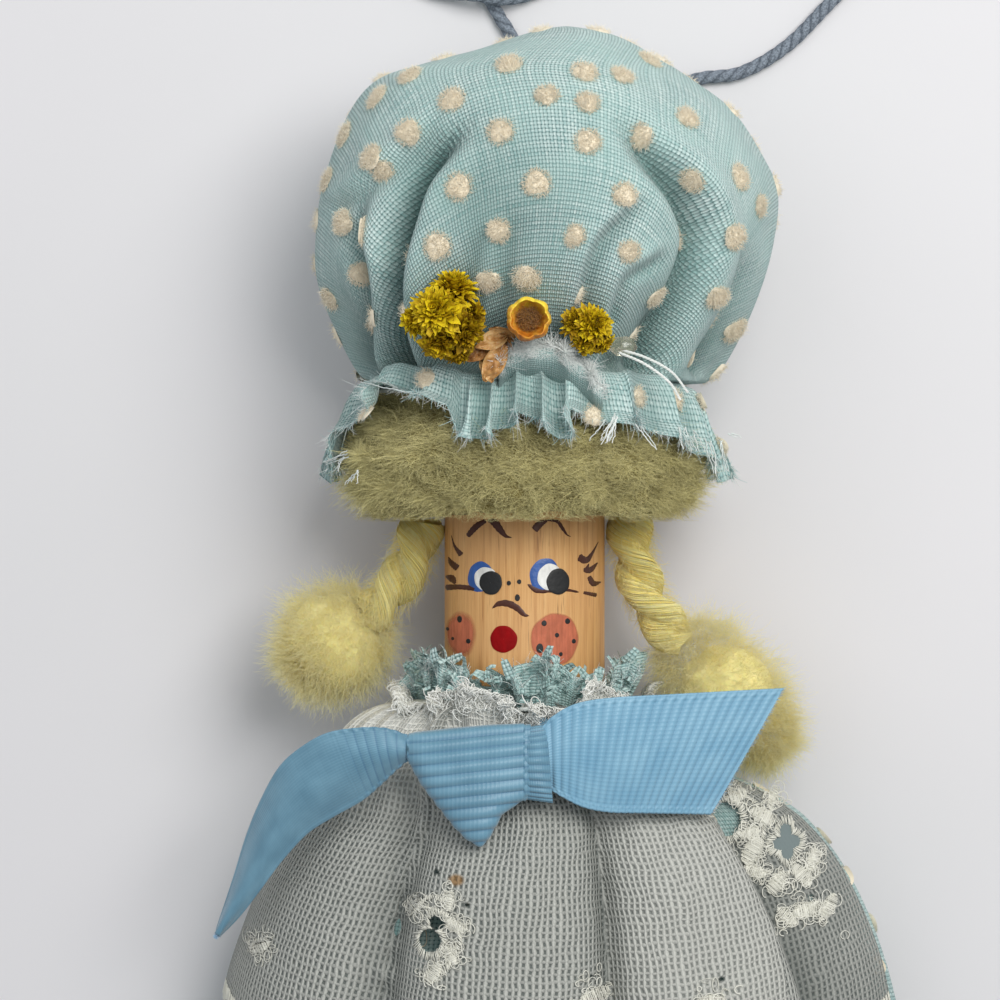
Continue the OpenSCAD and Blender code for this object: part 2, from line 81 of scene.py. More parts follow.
def draws(seed):
    """A source of random numbers that gives the same ones at every run."""
    return np.random.default_rng(seed)


def joined(*parts):
    """Arrays of numbers put together as one array of points."""
    return np.stack(np.broadcast_arrays(*parts), axis=-1)


def round_angles(count):
    """Angles that stand evenly round a full turn."""
    return np.linspace(0, TURN, count, endpoint=False)


def shares(count):
    """Shares from 0 to 1 along each of many fibres."""
    return np.linspace(0, 1, count)[None, :, None]


def length_along(route):
    """Length of a route up to each of its points."""
    return np.concatenate([[0], np.cumsum(np.linalg.norm(np.diff(route, axis=0), axis=1))])


def make_mesh(name, points, faces, material, body="doll", uv=None, marks=None):
    """A smooth named piece from points in mm and rows of corner numbers."""
    points = np.asarray(points, np.float32).reshape(-1, 3)
    faces = np.asarray(faces, np.int32)
    mesh = bpy.data.meshes.new(name)
    mesh.vertices.add(len(points))
    mesh.vertices.foreach_set("co", (points * MM).ravel())
    mesh.loops.add(faces.size)
    mesh.loops.foreach_set("vertex_index", faces.ravel())
    mesh.polygons.add(len(faces))
    mesh.polygons.foreach_set("loop_start", np.arange(len(faces), dtype=np.int32) * faces.shape[1])
    mesh.update(calc_edges=True)
    mesh.polygons.foreach_set("use_smooth", np.ones(len(faces), bool))
    if uv is not None:
        layer = mesh.uv_layers.new(name="cloth")
        layer.data.foreach_set("uv", np.asarray(uv, np.float32).reshape(-1, 2)[faces.ravel()].ravel())
    for key, values in (marks or {}).items():
        attribute = mesh.attributes.new(key, "FLOAT", "POINT")
        attribute.data.foreach_set("value", np.asarray(values, np.float32).ravel())
    mesh.materials.append(material)
    piece = bpy.data.objects.new(name, mesh)
    bpy.context.scene.collection.objects.link(piece)
    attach(piece, body)
    return piece


def grid_faces(rows, columns, wrapped=False):
    """Four-sided faces of a grid whose points are stored row by row."""
    count = columns if wrapped else columns - 1
    i, j = np.meshgrid(np.arange(rows - 1), np.arange(count), indexing="ij")
    k = (j + 1) % columns
    corners = (i * columns + j, i * columns + k, (i + 1) * columns + k, (i + 1) * columns + j)
    return np.stack([corner.ravel() for corner in corners], axis=1)


def many_grids(count, rows, columns, wrapped=False):
    """Faces of several grids of one size whose points follow one another."""
    offsets = np.arange(count)[:, None, None] * rows * columns
    return (grid_faces(rows, columns, wrapped)[None] + offsets).reshape(-1, 4)


def even_marks(points, **values):
    """Marks that are the same at every point."""
    return {key: np.full(points.size // 3, value) for key, value in values.items()}


def unit(vectors):
    """Vectors of length one."""
    return vectors / np.maximum(np.linalg.norm(vectors, axis=-1, keepdims=True), 1e-9)


def fibre_arrays(paths, radius, sides=3, taper=0.35):
    """Points and faces of thin tubes along many paths of shape (count, steps, 3)."""
    paths = np.asarray(paths, float)
    count, steps, _ = paths.shape
    ahead = unit(np.gradient(paths, axis=1))
    helper = np.where(np.abs(ahead[..., 2:3]) > 0.9, [[[1.0, 0, 0]]], [[[0, 0, 1.0]]])
    side = unit(np.cross(ahead, helper))
    lift = np.cross(side, ahead)
    thickness = np.linspace(1, taper, steps)[None, :] * np.asarray(radius).reshape(-1, 1)
    turn = np.arange(sides) * TURN / sides
    ring = side[:, :, None] * np.cos(turn)[None, None, :, None]
    ring = ring + lift[:, :, None] * np.sin(turn)[None, None, :, None]
    points = paths[:, :, None] + ring * thickness[:, :, None, None]
    return points, many_grids(count, steps, sides, wrapped=True)


def make_fibres(name, paths, radius, material, body="doll", sides=3, taper=0.35, shade=None):
    """A piece of many fibres; each may have a shade from 0 to 1 for its colour."""
    points, faces = fibre_arrays(paths, radius, sides, taper)
    steps = np.shape(paths)[1]
    if shade is None:
        shade = draws(len(paths)).random(len(paths))
    along = np.tile(np.repeat(np.linspace(0, 1, steps), sides), len(paths))
    marks = {"shade": np.repeat(shade, steps * sides), "along": along}
    return make_mesh(name, points, faces, material, body, marks=marks)


def smooth_curve(knots, count):
    """Evenly spaced points on a smooth curve through a few knots."""
    knots = np.asarray(knots, float)
    padded = np.vstack([2 * knots[0] - knots[1], knots, 2 * knots[-1] - knots[-2]])
    pieces = []
    for a, b, c, d in zip(padded[:-3], padded[1:-2], padded[2:-1], padded[3:]):
        t = np.linspace(0, 1, 24, endpoint=False)[:, None]
        bend = 2 * b + (c - a) * t + (2 * a - 5 * b + 4 * c - d) * t ** 2
        pieces.append(0.5 * (bend + (3 * b - a - 3 * c + d) * t ** 3))
    dense = np.vstack(pieces + [knots[-1:]])
    reach = length_along(dense)
    stops = np.linspace(0, reach[-1], count)
    return np.stack([np.interp(stops, reach, column) for column in dense.T], axis=1)


def ease(t):
    """A soft step from 0 to 1."""
    t = np.clip(t, 0, 1)
    return t * t * (3 - 2 * t)


def mix(a, b, t):
    """The value at share t of the way from a to b."""
    return a + (b - a) * t


def ripple(x, y, seed, cell=1.0):
    """Smooth pattern noise between about -1 and 1, from a few crossing waves."""
    source = draws(seed)
    total = np.zeros(np.broadcast(x, y).shape)
    for _ in range(9):
        angle = source.uniform(0, TURN)
        wave = source.uniform(0.55, 1.7) / cell
        phase = source.uniform(0, TURN)
        total = total + np.sin((x * math.cos(angle) + y * math.sin(angle)) * wave * 2.4 + phase)
    return total / 4.2


def lumpy_ball(centre, radii, rows, columns, seed, rough):
    """Points and faces of an oval with a rough surface."""
    high = np.linspace(-math.pi / 2, math.pi / 2, rows)[:, None]
    turn = round_angles(columns)[None]
    ball = joined(np.cos(high) * np.cos(turn), np.sin(high), np.cos(high) * np.sin(turn))
    swell = 1 + rough * ripple(ball[..., 0] * 3 + ball[..., 2], ball[..., 1] * 3 - ball[..., 2], seed)
    points = np.array(centre) + ball * np.array(radii) * swell[..., None]
    return points.reshape(-1, 3), grid_faces(rows, columns, True)[:, ::-1]


# %% [markdown]
# ## Material nodes
# Every finish is built from a few shader nodes. These helpers keep each material short.
# %% Material helpers
def new_material(name, roughness=0.8, specular=0.3, others=None):
    """A material, its node tree and its main shader; others are more inputs of that shader."""
    material = bpy.data.materials.new(name)
    material.use_nodes = True
    shader = material.node_tree.nodes["Principled BSDF"]
    for key, value in {"Roughness": roughness, "Specular IOR Level": specular, **(others or {})}.items():
        shader.inputs[key].default_value = value
    return material, material.node_tree, shader


def plug(tree, socket, value):
    """Links a socket or sets a plain value."""
    if isinstance(value, bpy.types.NodeSocket):
        tree.links.new(value, socket)
    else:
        socket.default_value = value


def set_colour(tree, shader, colour):
    plug(tree, shader.inputs["Base Color"], colour)


def calc(tree, operation, a, b=0.0, c=0.0, clamp=False):
    """One Math node."""
    node = tree.nodes.new("ShaderNodeMath")
    node.operation = operation
    node.use_clamp = clamp
    for socket, value in zip(node.inputs, (a, b, c)):
        plug(tree, socket, value)
    return node.outputs[0]


def srgb(red, green, blue):
    """A colour that was read as 0 to 255 values, as the shader needs it."""
    def linear(value):
        value = value / 255
        return value / 12.92 if value <= 0.04045 else ((value + 0.055) / 1.055) ** 2.4
    return (linear(red), linear(green), linear(blue), 1.0)


def blend_colour(tree, share, a, b, kind="MIX"):
    """One colour Mix node."""
    node = tree.nodes.new("ShaderNodeMix")
    node.data_type = "RGBA"
    node.blend_type = kind
    plug(tree, node.inputs[0], share)
    plug(tree, node.inputs[6], a)
    plug(tree, node.inputs[7], b)
    return node.outputs[2]


def ramp(tree, value, stops):
    """A colour ramp with (place, colour) stops."""
    node = tree.nodes.new("ShaderNodeValToRGB")
    while len(node.color_ramp.elements) < len(stops):
        node.color_ramp.elements.new(0.5)
    for element, (place, colour) in zip(node.color_ramp.elements, stops):
        element.position = place
        element.color = colour
    plug(tree, node.inputs[0], value)
    return node.outputs[0]


def spread(tree, value, low, high, to_low=0.0, to_high=1.0):
    """Maps a value from one range to another, clamped."""
    node = tree.nodes.new("ShaderNodeMapRange")
    for socket, number in zip(node.inputs, (value, low, high, to_low, to_high)):
        plug(tree, socket, number)
    return node.outputs[0]


def position_mm(tree, stretch=(1, 1, 1)):
    """The point on the object in millimetres, which stays with the piece."""
    coordinate = tree.nodes.new("ShaderNodeTexCoord")
    mapping = tree.nodes.new("ShaderNodeMapping")
    mapping.inputs["Scale"].default_value = [value / MM for value in stretch]
    tree.links.new(coordinate.outputs["Object"], mapping.inputs["Vector"])
    return mapping.outputs[0]


def cloth_uv(tree, stretch=(1, 1, 1)):
    """The cloth's own flat coordinates in millimetres."""
    uv = tree.nodes.new("ShaderNodeUVMap")
    uv.uv_map = "cloth"
    mapping = tree.nodes.new("ShaderNodeMapping")
    mapping.inputs["Scale"].default_value = stretch
    tree.links.new(uv.outputs[0], mapping.inputs["Vector"])
    return mapping.outputs[0]


def noise(tree, vector, scale, detail=2.0, rough=0.5):
    node = tree.nodes.new("ShaderNodeTexNoise")
    plug(tree, node.inputs["Vector"], vector)
    node.inputs["Scale"].default_value = scale
    node.inputs["Detail"].default_value = detail
    node.inputs["Roughness"].default_value = rough
    return node.outputs[0]


def mark(tree, name):
    """A value that the mesh carries at each point."""
    node = tree.nodes.new("ShaderNodeAttribute")
    node.attribute_name = name
    return node.outputs["Fac"]


def bump(tree, shader, height, depth_mm, strength=1.0, normal=None):
    """Bump from a height of 0 to 1 that stands for a depth in millimetres."""
    node = tree.nodes.new("ShaderNodeBump")
    node.inputs["Distance"].default_value = depth_mm * MM
    node.inputs["Strength"].default_value = strength
    plug(tree, node.inputs["Height"], height)
    if normal is not None:
        plug(tree, node.inputs["Normal"], normal)
    tree.links.new(node.outputs[0], shader.inputs["Normal"])
    return node.outputs[0]


def separate(tree, vector):
    node = tree.nodes.new("ShaderNodeSeparateXYZ")
    tree.links.new(vector, node.inputs[0])
    return node.outputs


def plain_weave(tree, uv, period):
    """Height of a plain weave from 0 to 1, its over-under sign, and 0 in the holes between threads."""
    axes = separate(tree, uv)
    turn = math.pi / period
    warp = calc(tree, "SINE", calc(tree, "MULTIPLY", axes[0], turn))
    weft = calc(tree, "SINE", calc(tree, "MULTIPLY", axes[1], turn))
    product = calc(tree, "MULTIPLY", warp, weft)
    over = calc(tree, "GREATER_THAN", product, 0.0)
    warp = calc(tree, "ABSOLUTE", warp)
    weft = calc(tree, "ABSOLUTE", weft)
    warp_up = calc(tree, "MULTIPLY", warp, calc(tree, "POWER", weft, 0.4))
    weft_up = calc(tree, "MULTIPLY", weft, calc(tree, "POWER", warp, 0.4))
    height = calc(tree, "ADD", calc(tree, "MULTIPLY", warp_up, over),
                  calc(tree, "MULTIPLY", weft_up, calc(tree, "SUBTRACT", 1.0, over)))
    return height, over, calc(tree, "MAXIMUM", warp, weft)


# %% [markdown]
# ## Studio
# A pale seamless table and soft light from the upper right give the photograph's gentle shadows.
# %% Floor and lights
FLOOR_COLOUR = srgb(226, 224, 227)
FLOOR_HALF = 2000


def make_floor():
    half = FLOOR_HALF * MM
    mesh = bpy.data.meshes.new("table_top")
    mesh.from_pydata([(-half, -half, 0), (half, -half, 0), (half, half, 0), (-half, half, 0)], [],
                     [(0, 1, 2, 3)])
    floor = bpy.data.objects.new("table_top", mesh)
    bpy.context.scene.collection.objects.link(floor)
    material, tree, shader = new_material("pale_table", roughness=0.75, specular=0.2)
    tint = noise(tree, position_mm(tree), 0.02, 3)
    colour = blend_colour(tree, tint, FLOOR_COLOUR, srgb(218, 218, 219))
    set_colour(tree, shader, colour)
    mesh.materials.append(material)


def soft_light(name, place, size, power, colour=(1, 1, 1)):
    """A large square light that faces the doll's chest."""
    data = bpy.data.lights.new(name, "AREA")
    data.size = size * MM
    data.energy = power
    data.color = colour
    light = bpy.data.objects.new(name, data)
    bpy.context.scene.collection.objects.link(light)
    target = np.array([0, 15, 10.0])
    place = np.array(place, float)
    light.location = place * MM
    light.rotation_euler = Vector(target - place).to_track_quat("-Z", "Y").to_euler()


make_floor()
soft_light("key", (100, 130, 270), 180, 0.70, (1.0, 0.985, 0.96))
soft_light("fill", (-200, 160, 380), 320, 0.28, (0.96, 0.98, 1.0))
world = bpy.data.worlds.new("room")
world.use_nodes = True
world.node_tree.nodes["Background"].inputs[0].default_value = (0.93, 0.96, 1.0, 1.0)
world.node_tree.nodes["Background"].inputs[1].default_value = 0.40
bpy.context.scene.world = world
bpy.context.scene.view_settings.view_transform = "Standard"

# %% [markdown]
# ## Hanging cord
# The cord is a soft twisted cotton about 1.1 mm thick. It comes out under the crown, makes a
# small loop that crosses itself, then one large loop, and goes back under the crown.
# Three strands are laid round the route, and each strand has a few fine plies that show as ridges.
# %% Hanging cord
CORD_D = 1.1
CORD_LAY = 3.4
CORD_POINTS = [
    (2, 52, 0.6), (0, 56, 0.6), (-0.8, 60, 0.6), (-2, 62.2, 0.6), (-3.2, 64.2, 0.6), (-4.6, 66.8, 0.6),
    (-6.9, 68.9, 0.6), (-9.4, 68.6, 0.6), (-10.3, 66.4, 0.6), (-8.8, 64.8, 0.6), (-6.4, 64.2, 1.2),
    (-4, 63.9, 2), (-1.8, 63.6, 1.8), (0.4, 64.1, 0.8), (3, 65.4, 0.6), (6, 68, 0.6), (9, 72.4, 0.6),
    (11, 78, 0.6), (13.6, 84.4, 0.6), (18, 90, 0.6), (24.4, 92.6, 0.6), (31, 90, 0.6), (34.4, 84, 0.6),
    (34, 76.6, 0.6), (31.8, 71, 0.6), (28.8, 66.8, 0.6), (25.4, 63.2, 0.6), (22, 59.8, 0.6),
    (18.2, 57.6, 0.6), (14.4, 57, 0.6), (10.4, 55.2, 0.6), (6, 52, 0.6)]


def cord_material():
    material, tree, shader = new_material("cotton_cord", roughness=0.85, specular=0.2)
    fleck = noise(tree, position_mm(tree), 6, 3)
    # Painted shade: the grooves between the strands and plies are painted darker.
    groove = mark(tree, "groove")
    body = ramp(tree, fleck, [(0.3, srgb(96, 104, 114)), (0.7, srgb(158, 168, 180))])
    colour = blend_colour(tree, calc(tree, "MULTIPLY", groove, 0.7), body, srgb(62, 70, 80))
    set_colour(tree, shader, colour)
    bump(tree, shader, noise(tree, position_mm(tree), 14, 2), 0.05)
    return material


def make_cord():
    route = smooth_curve(CORD_POINTS, 1150)
    length = np.linalg.norm(np.diff(route, axis=0), axis=1).sum()
    ahead = unit(np.gradient(route, axis=0))
    side = unit(np.cross(ahead, [0, 0, 1]))
    lift = np.cross(side, ahead)
    sides = 36
    along = np.linspace(0, length, len(route))
    turn = round_angles(sides)
    lay = TURN / CORD_LAY
    strand = np.abs(np.cos(1.5 * (turn[None] - along[:, None] * lay)))
    ply = np.abs(np.cos(9 * (turn[None] + along[:, None] * lay * 0.35)))
    radius = CORD_D / 2 * (0.80 + 0.17 * strand ** 0.6 + 0.045 * ply)
    ring = side[:, None] * np.cos(turn)[None, :, None] + lift[:, None] * np.sin(turn)[None, :, None]
    points = route[:, None] + ring * radius[..., None]
    points[..., 2] = np.maximum(points[..., 2], 0.02)
    # Painted shade: this mark is high deep between the strands and plies, where the colour is darkened.
    groove = (1 - strand) ** 2 + 0.25 * (1 - ply)
    material = cord_material()
    cord = make_mesh("hanging_loop", points, grid_faces(len(route), sides, True), material,
                     marks={"groove": groove})
    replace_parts(cord, "hanging_cord")
    fuzz = draws(5)
    pick = fuzz.integers(5, len(route) - 5, 900)
    around = fuzz.uniform(0, TURN, len(pick))
    out = side[pick] * np.cos(around)[:, None] + lift[pick] * np.sin(around)[:, None]
    root = route[pick] + out * CORD_D * 0.42
    drift = unit(out + ahead[pick] * fuzz.normal(0, 0.9, (len(pick), 1)))
    reach = fuzz.uniform(0.12, 0.5, (len(pick), 1, 1)) * shares(5)
    paths = root[:, None] + drift[:, None] * reach
    paths[..., 2] = np.maximum(paths[..., 2], 0.03)
    make_fibres("hanging_loop_hairs", paths, np.full(len(pick), 0.008), material)
    print("cord length mm", round(float(length), 1))


make_cord()

# %% [markdown]
# ## Dotted cloth
# The cap and the dress are cut from one plain weave cotton with small flocked dots. The threads
# are modelled in the shader at their real count, 30 to the centimetre, and the dots are real fluff.
# %% Cloth materials
WEAVE = 0.33
DOT_STEP = ((3.6, 3.4), (3.0, -4.0))
DOT_R = 1.12


def dotted_cloth_material():
    material, tree, shader = new_material("turquoise_lawn", 0.9, 0.15,
                                          {"Sheen Weight": 0.25, "Sheen Roughness": 0.5})
    height, over, cover = plain_weave(tree, cloth_uv(tree), WEAVE)
    slub = noise(tree, cloth_uv(tree, (3.0, 0.12, 1)), 1.0, 2)
    cross_slub = noise(tree, cloth_uv(tree, (0.12, 3.0, 1)), 1.0, 2)
    thread = blend_colour(tree, over, cross_slub, slub)
    light = ramp(tree, thread, [(0.3, srgb(152, 186, 184)), (0.72, srgb(222, 238, 234))])
    # Painted shade: the threads are painted darker where they dip under a crossing thread, and the gaps
    # between them a deep teal.
    light = blend_colour(tree, spread(tree, height, 0.0, 0.5, 0.46, 0.0), light, srgb(96, 138, 138))
    colour = blend_colour(tree, spread(tree, cover, 0.16, 0.78), srgb(62, 102, 102), light)
    cloud = noise(tree, position_mm(tree), 0.22, 2)
    colour = blend_colour(tree, spread(tree, cloud, 0.35, 0.65, 0.0, 0.35), colour, srgb(176, 214, 208))
    # Painted shade: the fold mark darkens the cloth in its folds and other shaded places.
    fold = mark(tree, "fold")
    colour = blend_colour(tree, calc(tree, "MULTIPLY", fold, 0.62, clamp=True), colour, srgb(58, 96, 92))
    set_colour(tree, shader, colour)
    lumps = calc(tree, "ADD", height, calc(tree, "MULTIPLY", thread, 0.5))
    bump(tree, shader, lumps, 0.11, 0.85)
    return material


def fluff_material(name, dark, light, sheen=0.4):
    """Fibre colour that varies from strand to strand and pales to its tip."""
    material, tree, shader = new_material(name, 0.95, 0.1, {"Sheen Weight": sheen})
    tone = calc(tree, "MULTIPLY_ADD", mark(tree, "along"), 0.35,
                calc(tree, "MULTIPLY", mark(tree, "shade"), 0.65))
    set_colour(tree, shader, ramp(tree, tone, [(0.0, dark), (1.0, light)]))
    return material


dotted_cloth = dotted_cloth_material()
flock = fluff_material("cream_flock", srgb(220, 202, 170), srgb(254, 248, 230))
white_fray = fluff_material("white_fray", srgb(212, 222, 218), srgb(250, 252, 249))
aqua_fray = fluff_material("aqua_fray", srgb(126, 176, 178), srgb(206, 232, 230))

# %% [markdown]
# ## Stuffed crown
# The crown is a flat round of cloth gathered onto a thread. Its outline and its deep folds are
# given as lists of points, because the real crown leans and creases like no formula. The cloth's flat
# coordinates run from the middle of the round, so weave and dots follow the cloth.
# %% Crown surface
CROWN_LOW_ANGLE = math.radians(-58)
GATHER_Y = 30.5
CROWN_LOW_Y = GATHER_Y + 0.65
CROWN_TOP_Y = 59.6
CROWN_HALF = (CROWN_TOP_Y - CROWN_LOW_Y) / (1 - math.sin(CROWN_LOW_ANGLE))
CROWN_MID_Y = CROWN_TOP_Y - CROWN_HALF
GATHER_R = 12.2
GATHER_DEPTH = 10.8
GATHER_Z = 11.9
CAP_DEPTH = 30
CROWN_MID_Z = CAP_DEPTH / 2 - 0.5
CROWN_RIGHT = [
    (12.2, 31.15), (13.6, 30.9), (15.6, 32.0), (17.4, 35.0), (18.9, 38.6), (20.0, 42.6), (20.4, 46.6),
    (19.0, 49.8), (16.8, 53.0), (14.0, 55.2), (11.2, 57.0), (7.6, 58.8), (3.4, 59.6)]
CROWN_LEFT = [(-12.2, 31.15), (-13.6, 32.2), (-15.4, 35.6), (-16.5, 39.0), (-16.6, 42.6), (-16.1, 47.2),
              (-14.4, 52.0), (-12.0, 55.2), (-8.4, 56.6), (-4.4, 57.7), (0.2, 59.1), (3.4, 59.6)]
# Each fold: its route in the front view, its width, its depth and how far its lip stands up
FRONT_FOLDS = [
    ([(-10.0, 31.0), (-10.4, 34.5), (-10.6, 39.0), (-9.7, 43.4), (-8.0, 47.6), (-3.6, 51.5)], 1.15, 3.4,
     -1.1),
    ([(-13.0, 31.6), (-13.2, 35.0), (-13.4, 39.5), (-13.6, 43.0), (-12.2, 46.6)], 0.9, 1.9, -0.6),
    ([(9.4, 31.2), (10.6, 34.6), (12.8, 38.4), (13.7, 42.2), (12.4, 45.6), (9.2, 48.8), (6.2, 52.6)], 1.15,
     3.0, -1.1),
    ([(4.2, 33.0), (4.6, 37.6), (5.8, 41.2), (8.0, 43.6), (10.2, 45.9)], 0.75, 1.3, 0.7),
    ([(6.6, 35.4), (7.8, 38.6), (9.8, 39.9), (11.9, 41.4)], 0.6, 0.9, 0.6),
    ([(-1.9, 33.6), (-1.9, 37.0), (-1.6, 41.4), (-0.6, 45.0)], 1.0, 0.55, 0.2),
    ([(-6.4, 33.5), (-6.0, 37.0), (-4.6, 40.4), (-2.4, 43.5)], 1.1, 0.6, 0.2),
    ([(14.6, 31.6), (16.2, 35.4), (17.6, 39.4), (17.7, 43.5)], 0.8, 1.1, -0.5),
    ([(-15.6, 44.4), (-12.4, 46.2), (-9.4, 48.6), (-6.0, 52.6)], 0.8, 0.7, 0.4)]


def crown_outline(knots):
    """Half outline of the crown as x at each share of its height angle."""
    curve = smooth_curve(knots, 160)
    height = np.clip((curve[:, 1] - CROWN_MID_Y) / CROWN_HALF, -1, 1)
    share = (np.arcsin(height) - CROWN_LOW_ANGLE) / (math.pi / 2 - CROWN_LOW_ANGLE)
    share = np.maximum.accumulate(share)
    return share, curve[:, 0]


right_share, right_x = crown_outline(CROWN_RIGHT)
left_share, left_x = crown_outline(CROWN_LEFT)


def fold_field(x, y, knots, width):
    """Signed distance to a fold's route in fold widths, and how far along the route it is."""
    route = smooth_curve(knots, 40)
    gap = np.stack([x.ravel(), y.ravel()], axis=1)[:, None] - route[None]
    distance = np.linalg.norm(gap, axis=2)
    nearest = distance.argmin(axis=1)
    ahead = np.gradient(route, axis=0)[nearest]
    off = gap[np.arange(len(nearest)), nearest]
    sign = np.sign(ahead[:, 0] * off[:, 1] - ahead[:, 1] * off[:, 0])
    value = (sign * distance.min(axis=1) / width).reshape(x.shape)
    return value, (nearest / (len(route) - 1)).reshape(x.shape)


def crown_surface(a, t):
    """The crown at angle a and share t of its way from the gather to its top, with its fold depth."""
    a, t = np.broadcast_arrays(a, t)
    b = mix(CROWN_LOW_ANGLE, math.pi / 2, t)
    open_share = ease(t * 3.2)
    full = np.maximum(np.cos(b), 0) ** 0.72
    right = np.interp(t, right_share, right_x)
    left = np.interp(t, left_share, left_x)
    middle_x = (right + left) / 2
    half_x = (right - left) / 2
    half_z = mix(GATHER_DEPTH, CAP_DEPTH / 2 * full, open_share)
    middle_z = mix(GATHER_Z, CROWN_MID_Z, open_share)
    y = CROWN_MID_Y + CROWN_HALF * np.sin(b)
    wander = a * 11 + 1.5 * np.sin(2 * a + 0.6) + 0.9 * np.sin(5 * a + 1.1) + 2.2 * t
    pleat = (0.5 + 0.5 * np.cos(wander)) ** 1.6
    fine = (0.5 + 0.5 * np.cos(a * 27 + 2 * np.sin(3 * a))) ** 1.5
    depth = pleat * (1.15 * np.exp(-(t / 0.22) ** 2) + 0.38 * np.exp(-(t / 0.62) ** 2))
    depth = depth + fine * 0.6 * np.exp(-(t / 0.12) ** 2)
    depth = depth * ease(t * 14) + 0.22 * ripple(middle_x + half_x * np.cos(a), y, 3, 5.0) * open_share
    front_x = middle_x + half_x * np.cos(a)
    front = ease(np.sin(a) * 2.4)
    for knots, width, valley, lip in FRONT_FOLDS:
        value, share = fold_field(front_x, y, knots, width)
        fade = ease((1 - share) * 3.0) * ease(share * 8 + 0.4) * front
        dip = valley * np.exp(-value ** 2 * 1.2)
        side = np.sign(lip) * value
        raise_up = abs(lip) * np.exp(-(side - 1.5) ** 2 * 0.8)
        depth = depth + (dip - raise_up) * fade
    keep = np.maximum(half_z, 0.5)
    x = middle_x + (half_x - depth * np.minimum(1, half_x / 8)) * np.cos(a)
    z = middle_z + (half_z - depth * np.minimum(1, keep / 8)) * np.sin(a)
    return joined(x, y, np.maximum(z, 0.05)), depth


def crown_reach():
    """Cloth length from the top of the crown down to each share, on average round the crown."""
    levels = np.linspace(0, 1, 200)
    points, _ = crown_surface(round_angles(60)[None], levels[:, None])
    step = np.linalg.norm(np.diff(points, axis=0), axis=2).mean(axis=1)
    reach = np.concatenate([[0], np.cumsum(step[::-1])])[::-1]
    return levels, reach


reach_shares, reach_lengths = crown_reach()
CROWN_REACH = float(reach_lengths[0])


def crown_at(u, v):
    """A place of the flat round on the crown: position and outward direction."""
    radius = np.hypot(u, v)
    t = np.interp(radius, reach_lengths[::-1], reach_shares[::-1])
    a = np.arctan2(v, u)
    here, _ = crown_surface(a, t)
    right, _ = crown_surface(a + 0.02, t)
    up, _ = crown_surface(a, np.clip(t + 0.01, 0, 1))
    normal = unit(np.cross(up - here, right - here))
    return here, normal


def make_crown():
    rows = 190
    columns = 640
    t = (1 - np.linspace(0, 1, rows) ** 1.15)[::-1]
    a = np.linspace(0, TURN, columns + 1)
    points, depth = crown_surface(a[None], t[:, None])
    radius = np.interp(t, reach_shares, reach_lengths)[:, None]
    uv = joined(radius * np.cos(a)[None], radius * np.sin(a)[None])
    # Painted shade: the crown is darkened by the depth of its folds, and a soft patch on its front middle
    # is painted darker.
    painted_shade_patch = np.exp(-((points[..., 0] + 2.5) / 6.0) ** 2 - ((points[..., 1] - 44.0) / 6.5) ** 2)
    fold = np.clip(depth / 2.6, 0, 1) + 0.62 * painted_shade_patch * (points[..., 2] > PIN_AXIS_Z)
    crown = make_mesh("stuffed_crown", points, grid_faces(rows, columns + 1), dotted_cloth,
                      uv=uv, marks={"fold": fold})
    return crown, points


crown, crown_grid = make_crown()
print("crown reach mm", round(CROWN_REACH, 1))

# %% [markdown]
# ## Fluffy dots
# Each dot is a low pad of cut fluff glued to the cloth. A pad follows the cloth's folds, and
# short fibres stand on it and lean outwards, so that dots on the outline look furry.
# %% Fluffy dots
def dot_places(low, high):
    """Places of the dots on flat cloth, in mm, inside a box of flat coordinates."""
    step_a, step_b = (np.array(step) for step in DOT_STEP)
    count = int(max(np.abs(low).max(), np.abs(high).max()) / 2.5)
    i, j = np.meshgrid(np.arange(-count, count + 1), np.arange(-count, count + 1))
    places = i.reshape(-1, 1) * step_a + j.reshape(-1, 1) * step_b
    inside = (places >= low).all(axis=1) & (places <= high).all(axis=1)
    return places[inside]


